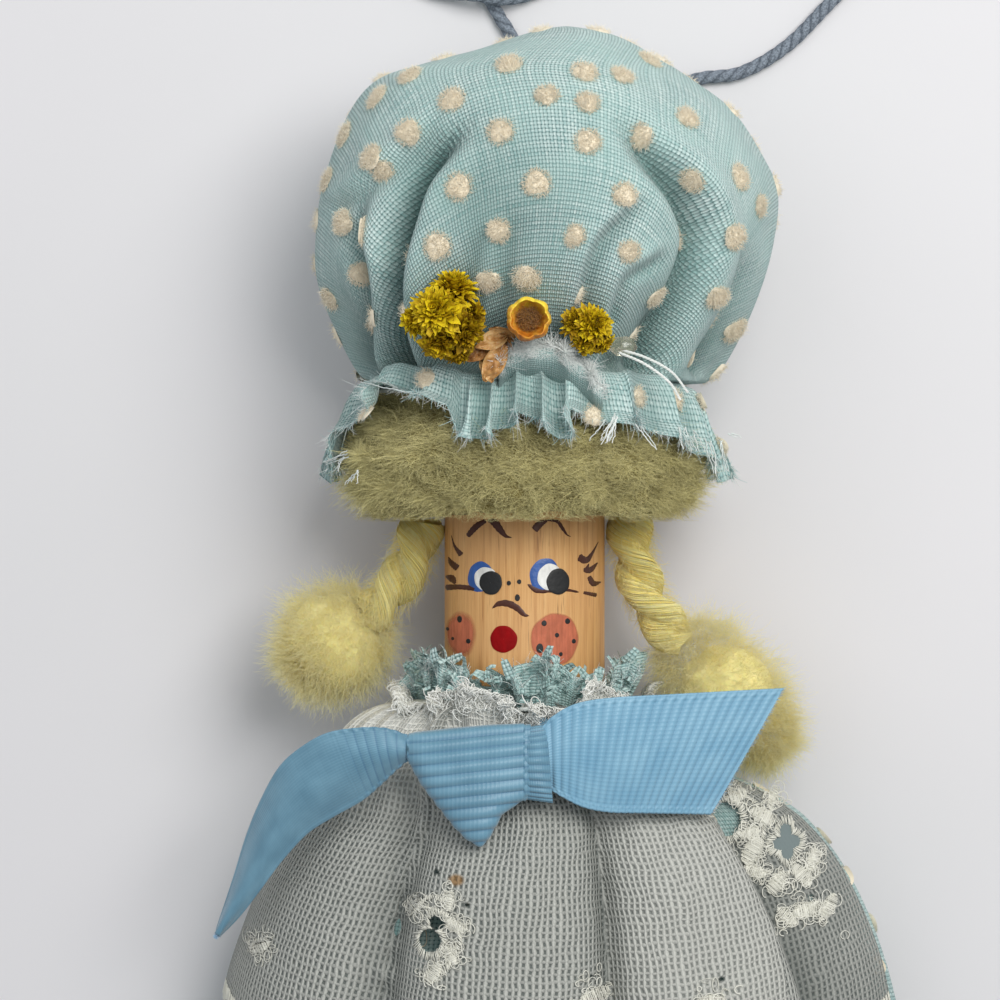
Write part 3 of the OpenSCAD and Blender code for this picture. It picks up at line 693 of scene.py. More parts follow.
def make_dots(name, centre, normal, seed, hairs=95, radius=DOT_R, body="doll"):
    """Pads and fibres for dots at centres on the cloth, each round in the cloth's own plane."""
    source = draws(seed)
    rings = 6
    sectors = 18
    count = len(centre)
    first = unit(np.cross(normal, [0.03, 0.02, 1.0]))
    second = np.cross(normal, first)
    size = radius * source.uniform(0.8, 1.05, count)
    turn = round_angles(sectors)
    wobble = 1 + 0.1 * np.sin(turn * 3 + source.uniform(0, 6, (count, 1)))
    share = np.linspace(1, 0.02, rings)
    reach = (size[:, None] * wobble)[:, None] * share[None, :, None] * 0.82
    lift = 0.2 * (1 - share ** 2) ** 0.7 - 0.16 * (share > 0.97)
    points = centre[:, None, None] + first[:, None, None] * (reach * np.cos(turn))[..., None]
    points = points + second[:, None, None] * (reach * np.sin(turn))[..., None]
    points = points + normal[:, None, None] * lift[None, :, None, None]
    points[..., 2] = np.maximum(points[..., 2], 0.02)
    make_mesh(name, points, many_grids(count, rings, sectors, wrapped=True), flock, body,
              marks=even_marks(points, shade=0.6, along=0.4))
    owner = np.repeat(np.arange(count), hairs)
    out = np.sqrt(source.random(len(owner)))
    way = source.uniform(0, TURN, len(owner))
    aside = first[owner] * np.cos(way)[:, None] + second[owner] * np.sin(way)[:, None]
    up = normal[owner]
    root = centre[owner] + aside * (out * size[owner] * 0.92)[:, None]
    root = root + up * (0.22 * np.sqrt(1 - out ** 2) - 0.04)[:, None]
    lean = unit(up * 0.9 + aside * (out * 0.8)[:, None] + source.normal(0, 0.55, root.shape))
    curl = source.normal(0, 0.8, root.shape)
    stops = shares(4)
    length = source.uniform(0.16, 0.4, (len(owner), 1, 1)) * (1.1 - 0.3 * out[:, None, None])
    paths = root[:, None] + lean[:, None] * stops * length + curl[:, None] * stops ** 2 * length * 0.5
    paths[..., 2] = np.maximum(paths[..., 2], 0.02)
    make_fibres(name + "_fur", paths, source.uniform(0.016, 0.028, len(owner)), flock, body,
                shade=np.clip(source.normal(0.6, 0.2, len(owner)), 0, 1))


def as_seen(points):
    """Where points appear to the camera, on the plane of the subject."""
    centre = np.array(VIEW_CENTRE)
    nearer = LENS_DISTANCE / (SUBJECT_Z + LENS_DISTANCE - points[..., 2:3])
    return centre + (points[..., :2] - centre) * nearer


def under_places(grid, places):
    """The points of a cloth grid that the camera sees at given places, and their outward directions."""
    seen = as_seen(grid)
    right = np.gradient(grid, axis=1)
    down = np.gradient(grid, axis=0)
    normal = unit(np.cross(right, down))
    normal = normal * np.sign(normal[..., 2:3] + 1e-9)
    front = grid[..., 2] > PIN_AXIS_Z
    found = []
    for place in places:
        distance = np.linalg.norm(seen - np.array(place), axis=2) + 99 * ~front
        found.append(np.unravel_index(distance.argmin(), distance.shape))
    rows, columns = np.array(found).T
    return grid[rows, columns], normal[rows, columns]


# Dots of the cap's front, where the photograph shows them on the plane of the subject
FRONT_DOTS = [
    (-11.8, 54.0), (-9.3, 51.3), (-12.4, 49.2), (-11.4, 48.0), (-14.6, 44.0), (-13.0, 43.2), (-13.2, 39.8),
    (-11.8, 35.7), (-5.2, 46.8), (-2.0, 51.2), (1.8, 54.1), (-1.3, 56.6), (-7.1, 42.2), (-2.2, 43.4),
    (1.0, 47.2), (5.0, 50.4), (7.8, 55.7), (4.0, 42.9), (0.1, 39.6), (-3.0, 39.4), (7.9, 46.2), (9.3, 50.9),
    (13.0, 52.4), (8.4, 41.8), (12.0, 42.8), (13.2, 47.4), (17.2, 47.6), (16.8, 42.8), (15.5, 38.0),
    (10.5, 38.1), (13.0, 33.3), (5.0, 53.5), (-5.8, 53.8), (-9.2, 55.8), (-14.4, 51.0), (-15.8, 47.4),
    (-15.6, 37.8), (3.0, 58.9), (4.8, 56.0), (10.0, 57.0), (18.8, 45.4), (19.0, 41.0), (16.8, 35.4)]


def crown_dots():
    reach = CROWN_REACH - 1.5
    places = dot_places(np.array([-reach, -reach]), np.array([reach, reach]))
    places = places[np.linalg.norm(places, axis=1) < reach]
    back, back_normal = crown_at(places[:, 0], places[:, 1])
    keep = back_normal[:, 2] < 0.25
    front, front_normal = under_places(crown_grid, FRONT_DOTS)
    gap = np.linalg.norm(back[:, None] - front[None], axis=2).min(axis=1)
    keep = keep & (gap > 3.0)
    make_dots("crown_front_dots", front, front_normal, 21, hairs=620, radius=DOT_R * 1.08)
    make_dots("crown_back_dots", back[keep], back_normal[keep], 22, hairs=110)
    print("dots on the crown", len(front) + int(keep.sum()))


crown_dots()

# %% [markdown]
# ## Frill
# Below the gathering thread the cloth goes on as a short frill. Its cut edge was never hemmed:
# it has frayed into thread ends, and it sags lower at the sides than over the brow.
# %% Frill
FRILL_W = 6.6
FRILL_FINE = 1.2
TUBES_ANGLE = 93
TUBES_HALF = 17
THREADS_HALF_X = 16.6
THREADS_HALF_Z = 14.9
FRILL_DOTS = [
    (-8.0, 31.5), (9.0, 30.1), (12.1, 29.8), (14.8, 29.9), (17.0, 27.0), (-12.6, 28.6), (5.4, 28.6)]
# Height of the frayed edge at angles round the head, read from the photograph's front view
FRILL_EDGE = [
    (-180, 23.6), (-150, 24.6), (-90, 25.2), (-45, 24.2), (0, 23.6), (15, 24.1), (26.8, 25.5), (42.8, 26.8),
    (47.4, 27.2), (58.7, 28.0), (67.3, 28.0), (70.8, 28.4), (76, 28.4), (77.6, 27.5), (81.3, 26.7),
    (87.8, 28.4), (92.9, 28.4), (97.6, 27.2), (104.7, 26.5), (110.8, 26.9), (112.4, 29.1), (115, 29.4),
    (123.6, 30.4), (137, 30.6), (144, 29.6), (160, 25.9), (168, 24.5), (180, 23.6)]


def frill_surface(a, s):
    """The frill at angle a and share s from the thread to the frayed edge."""
    a, s = np.broadcast_arrays(a, s)
    degrees = (np.degrees(a) + 180) % 360 - 180
    edge = np.interp(degrees, *zip(*FRILL_EDGE))
    phase = a * 17 + 1.6 * np.sin(2 * a) + 0.9 * np.sin(5 * a + 2)
    crowded = np.exp(-((degrees - TUBES_ANGLE) / TUBES_HALF) ** 4)
    phase = phase + TURN * 1.8 * np.clip((degrees - TUBES_ANGLE) / TUBES_HALF, -1, 1)
    wave = np.sin(phase) * (0.85 + 0.25 * crowded)
    small = np.sin(a * 41 + 2 * np.sin(3 * a))
    cross = np.cos(phase) * (1 - 0.45 * crowded)
    sway = a + 0.075 * s * cross
    rise = 1.9 * np.sin(math.pi * np.minimum(s * 1.35, 1)) * np.clip(np.sin(a) * 1.6, 0, 1)
    crumple = 0.34 * ripple(a * 15, s * 5, 30, 1.5) * s
    out = 0.25 + 3.6 * s ** 0.8 + (0.95 * wave + 0.22 * small) * s ** 0.9 + crumple
    y = GATHER_Y + rise + (edge - GATHER_Y) * s ** 1.6 + 0.45 * s * cross + 0.15 * s * small
    x = (GATHER_R + out) * np.cos(sway)
    z = GATHER_Z + (GATHER_DEPTH + out) * np.sin(sway)
    return joined(x, y, np.maximum(z, 0.1 + 0.25 * s))


# Root and rim of the piece of frill that stands up over the brow
TURNED_ROOT = [
    (-2.2, 29.9, 23.4), (-1.2, 30.9, 23.8), (0.3, 31.3, 24.0), (1.7, 31.2, 24.0), (2.8, 30.7, 24.0),
    (3.8, 30.1, 23.9), (5.0, 29.2, 23.7), (5.9, 28.2, 23.4)]
TURNED_RIM = [
    (-2.3, 32.1, 24.6), (-1.6, 33.1, 25.2), (0.1, 33.7, 25.6), (1.5, 33.95, 25.8), (2.65, 33.6, 25.8),
    (3.74, 32.9, 25.6), (5.1, 31.8, 25.2), (6.0, 30.7, 24.8)]


def turned_surface(u, v):
    """The piece of frill that stands up over the brow: u runs along it, v from its root to its rim."""
    root = smooth_curve(TURNED_ROOT, 60)
    rim = smooth_curve(TURNED_RIM, 60)
    share = np.clip(u, 0, 1) * 59
    low = np.minimum(np.floor(share).astype(int), 58)
    part = (share - low)[..., None]
    below = root[low] + (root[low + 1] - root[low]) * part
    above = rim[low] + (rim[low + 1] - rim[low]) * part
    ruffle = np.sin(u * 24 + 1.2 * np.sin(u * 7)) * 0.5 + np.sin(u * 41 + 1) * 0.18
    base = below + (above - below) * v[..., None]
    x = base[..., 0] + 0.4 * np.cos(u * 24) * v * (1 - 0.4 * v)
    y = base[..., 1] + ruffle * 0.25 * v
    z = base[..., 2] + 1.1 * np.sin(math.pi * v * 0.85) + ruffle * v * 0.9
    return joined(x, y, z)


def edge_frame(surface, pick, level, back, step):
    """Roots just behind an edge of a surface, the way out over it and the way along it."""
    root = surface(pick, level - back)
    tip = surface(pick, level)
    return root, unit(tip - root), unit(surface(pick + step, level) - tip)


def fray(name, roots, ahead, across, source, reach, radius, material, wild=0.55, steps=6):
    """Loose thread ends along an edge."""
    count = len(roots)
    lean = unit(ahead + across * source.normal(0, wild, (count, 1)) + source.normal(0, 0.3, (count, 3)))
    curl = source.normal(0, 0.55, (count, 3))
    stops = shares(steps)
    length = (reach * source.uniform(0.3, 1, count) ** 1.6)[:, None, None]
    paths = roots[:, None] + lean[:, None] * stops * length + curl[:, None] * stops ** 2 * length * 0.6
    paths[..., 2] = np.maximum(paths[..., 2], 0.05)
    make_fibres(name, paths, radius * source.uniform(0.7, 1.2, count), material)


def make_frill():
    rows = 34
    columns = 900
    s = np.linspace(0, 1, rows)
    a = np.linspace(-math.pi, math.pi, columns + 1)
    points = frill_surface(a[None], s[:, None])
    notch = draws(31)
    ragged = np.interp(np.arange(columns + 1), np.arange(0, columns + 9, 5), notch.normal(0, 0.16, 182))
    points[-1] += (points[-1] - points[-2]) * ragged[:, None] * 2
    reach = length_along(points[rows * 2 // 3])
    uv = joined(reach[None], (s * FRILL_W)[:, None]) * FRILL_FINE
    # Painted shade: the fold mark darkens the frill next to the thread, in the dips between its ruffles and
    # along its far left side.
    middle_r = np.hypot(points[..., 0] / GATHER_R, (points[..., 2] - GATHER_Z) / GATHER_DEPTH)
    dip = np.convolve(middle_r[-8], np.ones(45) / 45, "same") - middle_r[-8]
    far_left_shade = ease((np.degrees(a) - 150) / 14)
    fold = np.clip(0.9 - 2.4 * s, 0, 1)[:, None] + np.clip(dip * 12, 0, 0.7) * s[:, None] + 0.8 * far_left_shade
    frill = make_mesh("cap_frill", points, grid_faces(rows, columns + 1)[:, ::-1], dotted_cloth,
                      uv=uv, marks={"fold": fold})
    source = draws(32)
    pick = source.uniform(-math.pi, math.pi, 3600)
    root, ahead, beside = edge_frame(frill_surface, pick, 1.0, 0.05, 0.02)
    half = len(pick) // 2
    fray("frill_fray_white", root[:half], ahead[:half], beside[:half], source, 1.25, 0.03, white_fray,
         wild=0.75)
    fray("frill_fray_aqua", root[half:], ahead[half:], beside[half:], source, 1.0, 0.034, aqua_fray)
    front, front_normal = under_places(points, FRILL_DOTS)
    make_dots("frill_dots", front, front_normal, 33, hairs=300, radius=1.0)
    return frill


def make_turned_frill():
    rows = 26
    columns = 150
    u, v = np.meshgrid(np.linspace(0, 1, columns), np.linspace(0, 1, rows))
    points = turned_surface(u, v)
    uv = joined(u * 17, v * 4.6) * FRILL_FINE
    # Painted shade: the fold mark darkens the turned up piece towards its root.
    piece = make_mesh("cap_frill_turned_up", points, grid_faces(rows, columns), dotted_cloth,
                      uv=uv, marks={"fold": 0.9 * (1 - v) ** 1.5})
    source = draws(34)
    pick = source.random(2600)
    root, ahead, beside = edge_frame(turned_surface, pick, np.ones(len(pick)), 0.1, 0.01)
    fray("turned_frill_fray", root, ahead, beside, source, 1.15, 0.036, white_fray, wild=1.3)
    low = turned_surface(pick, source.uniform(0.55, 0.95, len(pick)))
    fray("turned_frill_fluff", low, ahead, beside, source, 0.8, 0.032, white_fray, wild=1.6)
    return piece


# Loose threads of the frill: start and end in the front view, how many strands, and their thickness
LOOSE_THREADS = [
    ((6.8, 28.2), (6.0, 26.3), 12, 0.05), ((8.5, 27.7), (10.0, 25.8), 2, 0.06),
    ((12.0, 27.5), (12.3, 25.8), 2, 0.05), ((12.6, 27.5), (13.3, 25.7), 2, 0.05),
    ((13.0, 27.4), (13.9, 25.7), 2, 0.05), ((14.5, 26.5), (15.2, 23.8), 3, 0.06),
    ((15.7, 26.5), (16.3, 24.1), 3, 0.06), ((16.3, 27.1), (17.0, 26.8), 2, 0.06),
    ((-14.1, 25.5), (-15.9, 24.8), 4, 0.05), ((-14.5, 25.2), (-15.2, 24.1), 3, 0.05),
    ((-13.6, 24.0), (-14.1, 23.1), 4, 0.05), ((-9.2, 30.2), (-12.6, 31.0), 1, 0.05)]


def make_loose_threads():
    source = draws(35)
    paths = []
    thick = []
    for start, end, count, radius in LOOSE_THREADS:
        t = np.linspace(0, 1, 16)[None]
        kink = source.normal(0, 0.09, (count, 16)).cumsum(axis=1) * 0.6
        x = mix(start[0], end[0], t) + source.normal(0, 0.18, (count, 1)) + kink
        y = mix(start[1], end[1], t) + source.normal(0, 0.1, (count, 1)) + kink[:, ::-1] * 0.4
        round_head = np.sqrt(np.maximum(0.05, 1 - (x / THREADS_HALF_X) ** 2))
        z = GATHER_Z + THREADS_HALF_Z * round_head + source.normal(0, 0.15, (count, 1))
        paths.append(joined(x, y, z))
        thick.append(np.full(count, radius))
    make_fibres("frill_loose_threads", np.concatenate(paths), np.concatenate(thick), white_fray, sides=5,
                taper=0.6)


frill = make_frill()
turned_frill = make_turned_frill()
make_loose_threads()

# %% [markdown]
# ## Wool fringe
# The hair over the brow is a strip of olive wool pile. Thousands of short fibres grow in small
# clumps from a felt base, lean down and out, and end in a soft uneven edge.
# %% Wool fringe
def wool_material(name, dark, light, scale=0.55, glow=0.0):
    """Wool whose colour drifts in patches and varies from fibre to fibre."""
    material, tree, shader = new_material(
        name, 0.95, 0.12, {"Sheen Weight": 0.15, "Subsurface Weight": glow,
                           "Subsurface Radius": (0.0012, 0.001, 0.0006)})
    patch = noise(tree, position_mm(tree), scale, 2)
    tone = calc(tree, "MULTIPLY_ADD", mark(tree, "shade"), 0.5, calc(tree, "MULTIPLY", patch, 0.45))
    tone = calc(tree, "MULTIPLY_ADD", mark(tree, "along"), 0.28, tone)
    set_colour(tree, shader, ramp(tree, tone, [(0.18, dark), (0.85, light)]))
    return material


olive_wool = wool_material("olive_wool", srgb(114, 99, 36), srgb(244, 235, 172))
pale_wool = wool_material("pale_wool", srgb(246, 214, 102), srgb(252, 240, 172), glow=0.6)


def fringe_lumps(a, y):
    """Matted lumps of the wool, in mm."""
    return 0.42 * ripple(a * 13, y * 1.1, 42, 1.6) + 0.26 * ripple(a * 13, y, 43, 0.8)


def fringe_surface(a, y):
    """The wool's outer surface at angle a and height y, with its matted lumps."""
    stops = [20.4, 21.0, 22.0, 23.6, 25.2, 27.2, 29.0, 30.6]
    bulge = [-1.2, 0.2, 1.5, 2.2, 2.3, 1.6, 0.2, -0.9]
    out = np.interp(y, stops, bulge) + fringe_lumps(a, y)
    x = (GATHER_R + out) * np.cos(a)
    z = GATHER_Z + (GATHER_DEPTH + out) * np.sin(a)
    low = 0.5 * ripple(a * 13, 2.0, 44, 2.2) * ease((23 - y) / 3)
    return joined(x, y + low, np.maximum(z, 0.7))


def make_fringe():
    source = draws(41)
    rows = 40
    columns = 300
    heights = np.linspace(20.9, 30.4, rows)
    grid = fringe_surface(round_angles(columns)[None], heights[:, None])
    middle = np.array([0, 0, GATHER_Z])
    inward = (grid - middle) * np.array([0.94, 1, 0.94]) + middle
    inner = middle + (inward - middle) * np.array([0.55, 1, 0.55])
    shell = np.concatenate([inner[:1], inward, inner[-1:]])
    make_mesh("wool_fringe_felt", shell, grid_faces(rows + 2, columns, True), olive_wool,
              marks=even_marks(shell, shade=0.15, along=0))
    clumps = 2300
    per = 15
    clump_a = source.uniform(0, TURN, clumps)
    clump_a[:1700] = source.uniform(0.02, math.pi - 0.02, 1700)
    clump_y = source.uniform(20.9, 29.8, clumps)
    owner = np.repeat(np.arange(clumps), per)
    a0 = clump_a[owner] + source.normal(0, 0.03, len(owner))
    y0 = np.clip(clump_y[owner] + source.normal(0, 0.3, len(owner)), 20.8, 30.2)
    root = fringe_surface(a0, y0)
    root = middle + (root - middle) * np.array([0.95, 1, 0.95])
    outward = unit(np.stack([np.cos(a0), np.zeros(len(a0)), np.sin(a0)], axis=1))
    aside = unit(np.stack([-np.sin(a0), np.zeros(len(a0)), np.cos(a0)], axis=1))
    bias = source.normal(0, 0.8, (clumps, 1))[owner]
    droop = source.normal(0.45, 0.6, (clumps, 1))[owner] + 1.0 * ease((22.6 - y0) / 2)[:, None]
    lean = unit(outward + aside * bias - np.array([0, 1, 0]) * droop + source.normal(0, 0.35, root.shape))
    hook = unit(source.normal(0, 1, (clumps, 3)))[owner] + source.normal(0, 0.3, root.shape)
    stops = shares(6)
    length = source.uniform(0.6, 1.5, (len(owner), 1, 1))
    paths = root[:, None] + (lean[:, None] * stops + hook[:, None] * 0.8 * stops ** 2) * length
    phase = source.uniform(0, 6, (clumps, 1, 1))[owner]
    paths = paths + aside[:, None] * np.sin(stops * 9 + phase) * 0.2
    paths = paths + outward[:, None] * np.cos(stops * 9 + phase) * 0.14
    paths[..., 1] = np.maximum(paths[..., 1], 20.05 + 0.5 * source.random((len(owner), 1)))
    paths[..., 2] = np.maximum(paths[..., 2], 0.15)
    # Painted light and shade: fibres on the high lumps are painted paler and those in the hollows darker.
    high = 0.5 + 0.75 * fringe_lumps(a0, y0)
    shade = 0.3 * source.random(clumps)[owner] + 0.3 * source.random(len(owner)) + 0.45 * high
    shade = np.clip(shade, 0, 1)
    half = len(owner) // 2
    thick = source.uniform(0.011, 0.023, len(owner))
    wool = make_fibres("wool_fringe_pile", paths[:half], thick[:half], olive_wool, shade=shade[:half])
    make_fibres("wool_fringe_pile_2", paths[half:], thick[half:], olive_wool, shade=shade[half:])
    print("fringe fibres", len(owner))
    return wool


fringe_pile = make_fringe()

# %% [markdown]
# ## Plaits and tufts
# Each plait is a pale wool roving twisted from two plies. It hangs from a short root beside the
# face, and beyond its tie it opens into a brushed out tuft.
# %% Plaits and tufts
PLY_REACH = 0.72
PLAIT_LAY = 8.2
ROOT_X = 8.6
ROOT_Y = 18.55
TUFT_LONG = 8.6
TUFT_WIDE = 4.5
TUFT_STRANDS = 15000
RIGHT_TUFT_EXTRA = 4.5
# Side, length, lean at the root and lean at the tip, as in the frame
PLAITS = {"left_plait": (-1, 6.6, 16, 50), "right_plait": (1, 8.4, 6, 42)}


def plait_place(side, length, root_lean, tip_lean, share):
    """Middle of a plait at a share of its way from root to tip; it leans out more and more."""
    lean = np.radians(mix(root_lean, tip_lean, share / 2))
    heading = joined(side * np.sin(lean), -np.cos(lean), np.zeros_like(lean))
    return np.array([side * ROOT_X, ROOT_Y, PIN_AXIS_Z]) + length * np.asarray(share)[..., None] * heading


def make_plait(name, side, length, root_lean, tip_lean, seed):
    source = draws(seed)
    share = np.linspace(-0.22, 1.12, 90)
    centre = plait_place(side, length, root_lean, tip_lean, share)
    ahead = unit(np.gradient(centre, axis=0))
    lift = np.array([0, 0, 1.0])
    across = unit(np.cross(ahead, lift))
    turn = share * length * TURN / PLAIT_LAY + 0.6
    hubs = []
    for phase in (turn, turn + math.pi):
        swing = across * np.cos(phase)[:, None] + lift * np.sin(phase)[:, None]
        hubs.append(centre + PLY_REACH * swing)
    strands = []
    count = 360
    for hub in hubs:
        spin = source.uniform(0, TURN, count)[:, None] + turn[None] * 1.7
        reach = 1.14 * source.uniform(0.78, 1.06, (count, 1)) * (1 + 0.05 * np.sin(turn[None] * 3 + spin))
        offset = across[None] * (reach * np.cos(spin))[..., None] + lift * (reach * np.sin(spin))[..., None]
        strands.append(hub[None] + offset)
    paths = np.concatenate(strands)
    make_fibres(name + "_plies", paths, source.uniform(0.022, 0.05, len(paths)), pale_wool, name, taper=0.9)
    make_fibres(name + "_core", np.array(hubs), np.full(2, 0.96), pale_wool, name, sides=14, taper=1,
                shade=np.full(2, 0.5))
    loose = 1500
    at = source.integers(4, 84, loose)
    way = source.uniform(0, TURN, loose)
    out = across[at] * np.cos(way)[:, None] + lift * np.sin(way)[:, None]
    lean = out * 0.5 + ahead[at] * source.uniform(0.4, 1.2, (loose, 1))
    lean = unit(lean + source.normal(0, 0.35, (loose, 3)))
    stops = shares(6)
    hair = lean[:, None] * stops * source.uniform(0.4, 1.6, (loose, 1, 1))
    hair = (centre[at] + out * 1.5)[:, None] + hair
    hair = hair + out[:, None] * np.sin(stops * math.pi) * 0.25
    make_fibres(name + "_stray_hairs", hair, np.full(loose, 0.014), pale_wool, name)


def make_tuft(name, side, length, root_lean, tip_lean, seed):
    source = draws(seed)
    lean = math.radians(tip_lean)
    heading = np.array([side * math.sin(lean), -math.cos(lean), 0])
    across = np.array([math.cos(lean), side * math.sin(lean), 0])
    lift = np.array([0, 0, 1.0])
    tip = plait_place(side, length, root_lean, tip_lean, np.array(1.0))
    drop = np.array([0, 0, -1.0])
    count = TUFT_STRANDS
    way = source.uniform(0, TURN, count)
    u = source.random(count) ** 0.85
    fill = source.random(count) ** 0.4
    lump = 1 + 0.13 * ripple(way * 2.2, u * 7, seed, 1.3)
    round_off = np.sin(math.pi * np.clip(u * 0.86 + 0.1, 0, 1)) ** 0.65
    radial = across * np.cos(way)[:, None] + lift * np.sin(way)[:, None]
    wide = (TUFT_WIDE * round_off * lump * fill)[:, None]
    flat = across * np.cos(way)[:, None] + lift * np.sin(way)[:, None] * 0.78
    reach = TUFT_LONG + RIGHT_TUFT_EXTRA * (side > 0)
    root = tip + heading * (u * reach)[:, None] + flat * wide + drop * round_off[:, None]
    ahead = (u - 0.35)[:, None] * 1.2
    lean = unit(heading * (0.25 + ahead) + radial * 0.8 + source.normal(0, 0.55, (count, 3)))
    first = unit(np.cross(lean, source.normal(0, 1, (count, 3))))
    second = np.cross(lean, first)
    stops = shares(7)
    length = source.uniform(0.8, 2.3, (count, 1, 1)) * (0.75 + 0.5 * fill[:, None, None])
    phase = source.uniform(0, 6, (count, 1, 1))
    crimp = source.uniform(0.05, 0.22, (count, 1, 1))
    paths = root[:, None] + lean[:, None] * stops * length
    paths = paths + first[:, None] * np.sin(stops * 9 + phase) * crimp
    paths = paths + second[:, None] * np.cos(stops * 7 + phase) * crimp
    paths[..., 2] = np.maximum(paths[..., 2], 0.2)
    # Painted light and shade: fibres on the tuft's bulges are painted paler and those in its dents darker.
    shade = np.clip(0.62 + 0.35 * source.random(count) + 1.2 * (lump - 1), 0, 1)
    half = count // 2
    thick = source.uniform(0.008, 0.017, count)
    tuft = make_fibres(name + "_tuft", paths[:half], thick[:half], pale_wool, name, shade=shade[:half])
    make_fibres(name + "_tuft_2", paths[half:], thick[half:], pale_wool, name, shade=shade[half:])
    heart_at = tip + heading * reach * 0.5 + drop
    heart, heart_faces = lumpy_ball(heart_at, (TUFT_WIDE * 0.86, TUFT_WIDE * 0.86, TUFT_WIDE * 0.66), 60,
                                    90, seed, 0.06)
    make_mesh(name + "_tuft_heart", heart, heart_faces, pale_wool, name,
              marks=even_marks(heart, shade=0.9, along=0.8))
    return tuft


for index, (name, values) in enumerate(PLAITS.items()):
    make_plait(name, *values, seed=51 + index)
    tuft = make_tuft(name, *values, seed=61 + index)
    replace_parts(tuft, name)
    print(name, "made")

# %% [markdown]
# ## Wooden clothespin
# The pin is turned from pale wood and keeps the frame's own shape. Its grain runs along the pin,
# with fine dark pores, a few long streaks and a slightly waxed surface.
# %% Wood
def wood_material():
    material, tree, shader = new_material("pale_beech", roughness=0.5, specular=0.35)
    long_grain = noise(tree, position_mm(tree, (1.5, 0.05, 1.5)), 1.0, 4, 0.6)
    fine_grain = noise(tree, position_mm(tree, (7.0, 0.18, 7.0)), 1.0, 3, 0.6)
    cloud = noise(tree, position_mm(tree), 0.16, 2)
    tone = calc(tree, "MULTIPLY_ADD", fine_grain, 0.45, calc(tree, "MULTIPLY", long_grain, 0.55))
    colour = ramp(tree, tone,
                  [(0.3, srgb(160, 108, 58)), (0.48, srgb(206, 156, 98)), (0.7, srgb(226, 182, 122))])
    colour = blend_colour(tree, spread(tree, cloud, 0.4, 0.7, 0.0, 0.35), colour, srgb(216, 166, 116))
    pores = noise(tree, position_mm(tree, (9.0, 0.35, 9.0)), 1.0, 2, 0.5)
    colour = blend_colour(tree, spread(tree, pores, 0.64, 0.74, 0.0, 0.55), colour, srgb(120, 78, 44))
    set_colour(tree, shader, colour)
    bump(tree, shader, fine_grain, 0.05, 0.5)
    return material


wood = wood_material()
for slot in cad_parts["clothespin"].material_slots:
    slot.material = wood

# %% [markdown]
# ## Painted face
# The face is brushed on with thick paint. Each stroke is a thin skin that follows the round
# wood, a little raised, with the wavering edge of a brush. Places are millimetres on the doll.
# %% Face paint
PIN_R = 6.5
PAINT_LIFT = 0.03
SPOT_SIDES = 72
STROKE_STEPS = 60


def paint_material(name, colour, roughness=0.38, wash=False, specular=0.5):
    material, tree, shader = new_material(name, roughness=roughness, specular=specular)
    streak = noise(tree, position_mm(tree, (2.2, 0.7, 2.2)), 1.0, 3)
    dark = [value * 0.72 for value in colour[:3]] + [1.0]
    set_colour(tree, shader, blend_colour(tree, spread(tree, streak, 0.3, 0.7), dark, colour))
    bump(tree, shader, noise(tree, position_mm(tree), 3.0, 2), 0.06, 0.6)
    if wash:
        grain = noise(tree, position_mm(tree, (5.0, 0.2, 5.0)), 1.0, 3)
        cover = calc(tree, "MULTIPLY", mark(tree, "cover"), spread(tree, grain, 0.25, 0.6, 0.72, 1.0))
        plug(tree, shader.inputs["Alpha"], cover)
    return material


def on_wood(x, y, lift):
    """Points on the pin's front at a small height above the wood."""
    x = np.clip(x, -PIN_R * 0.992, PIN_R * 0.992)
    rise = np.sqrt(PIN_R ** 2 - x ** 2)
    scale = (PIN_R + lift) / PIN_R
    return joined(x * scale, y, PIN_AXIS_Z + rise * scale)


def paint_spot(name, centre, radii, material, level=0, tilt=0.0, seed=1, soft=0.0):
    """A brushed spot: an oval with a wavering edge."""
    turn = round_angles(SPOT_SIDES)
    source = draws(seed)
    waver = 1 + 0.02 * np.sin(turn * 3 + source.uniform(0, 6))
    waver = waver + 0.012 * np.sin(turn * 7 + source.uniform(0, 6))
    share = np.linspace(1, 0.01, 12)
    u = share[:, None] * radii[0] * waver * np.cos(turn)
    v = share[:, None] * radii[1] * waver * np.sin(turn)
    x = centre[0] + u * math.cos(tilt) - v * math.sin(tilt)
    y = centre[1] + u * math.sin(tilt) + v * math.cos(tilt)
    edge = np.minimum(1, (1 - share) * 6) ** 0.5
    lift = (PAINT_LIFT * (level + 0.15) + PAINT_LIFT * edge)[:, None]
    points = on_wood(x, y, lift)
    cover = np.clip((1 - share) / soft, 0, 1) if soft else np.ones_like(share)
    make_mesh(name, points, grid_faces(len(share), SPOT_SIDES, True), material,
              marks={"cover": cover.repeat(SPOT_SIDES)})


def paint_stroke(name, knots, material, level=0):
    """A brush stroke through (x, y, half width) knots."""
    line = smooth_curve(knots, STROKE_STEPS)
    steps = np.arange(STROKE_STEPS)
    ahead = unit(np.gradient(line[:, :2], axis=0))
    beside = np.stack([-ahead[:, 1], ahead[:, 0]], axis=1)
    across = np.linspace(-1, 1, 9)
    half = np.maximum(line[:, 2], 0.01) * (1 + 0.06 * np.sin(steps * 0.7))
    end = np.minimum(1, np.minimum(steps, steps[::-1]) / 4 + 0.25) ** 0.5
    place = line[:, None, :2] + beside[:, None] * (half * end)[:, None, None] * across[None, :, None]
    lift = PAINT_LIFT * (level + 0.15 + (1 - np.abs(across) ** 3))
    points = on_wood(place[..., 0], place[..., 1], lift[None])
    make_mesh(name, points, grid_faces(STROKE_STEPS, len(across))[:, ::-1], material)


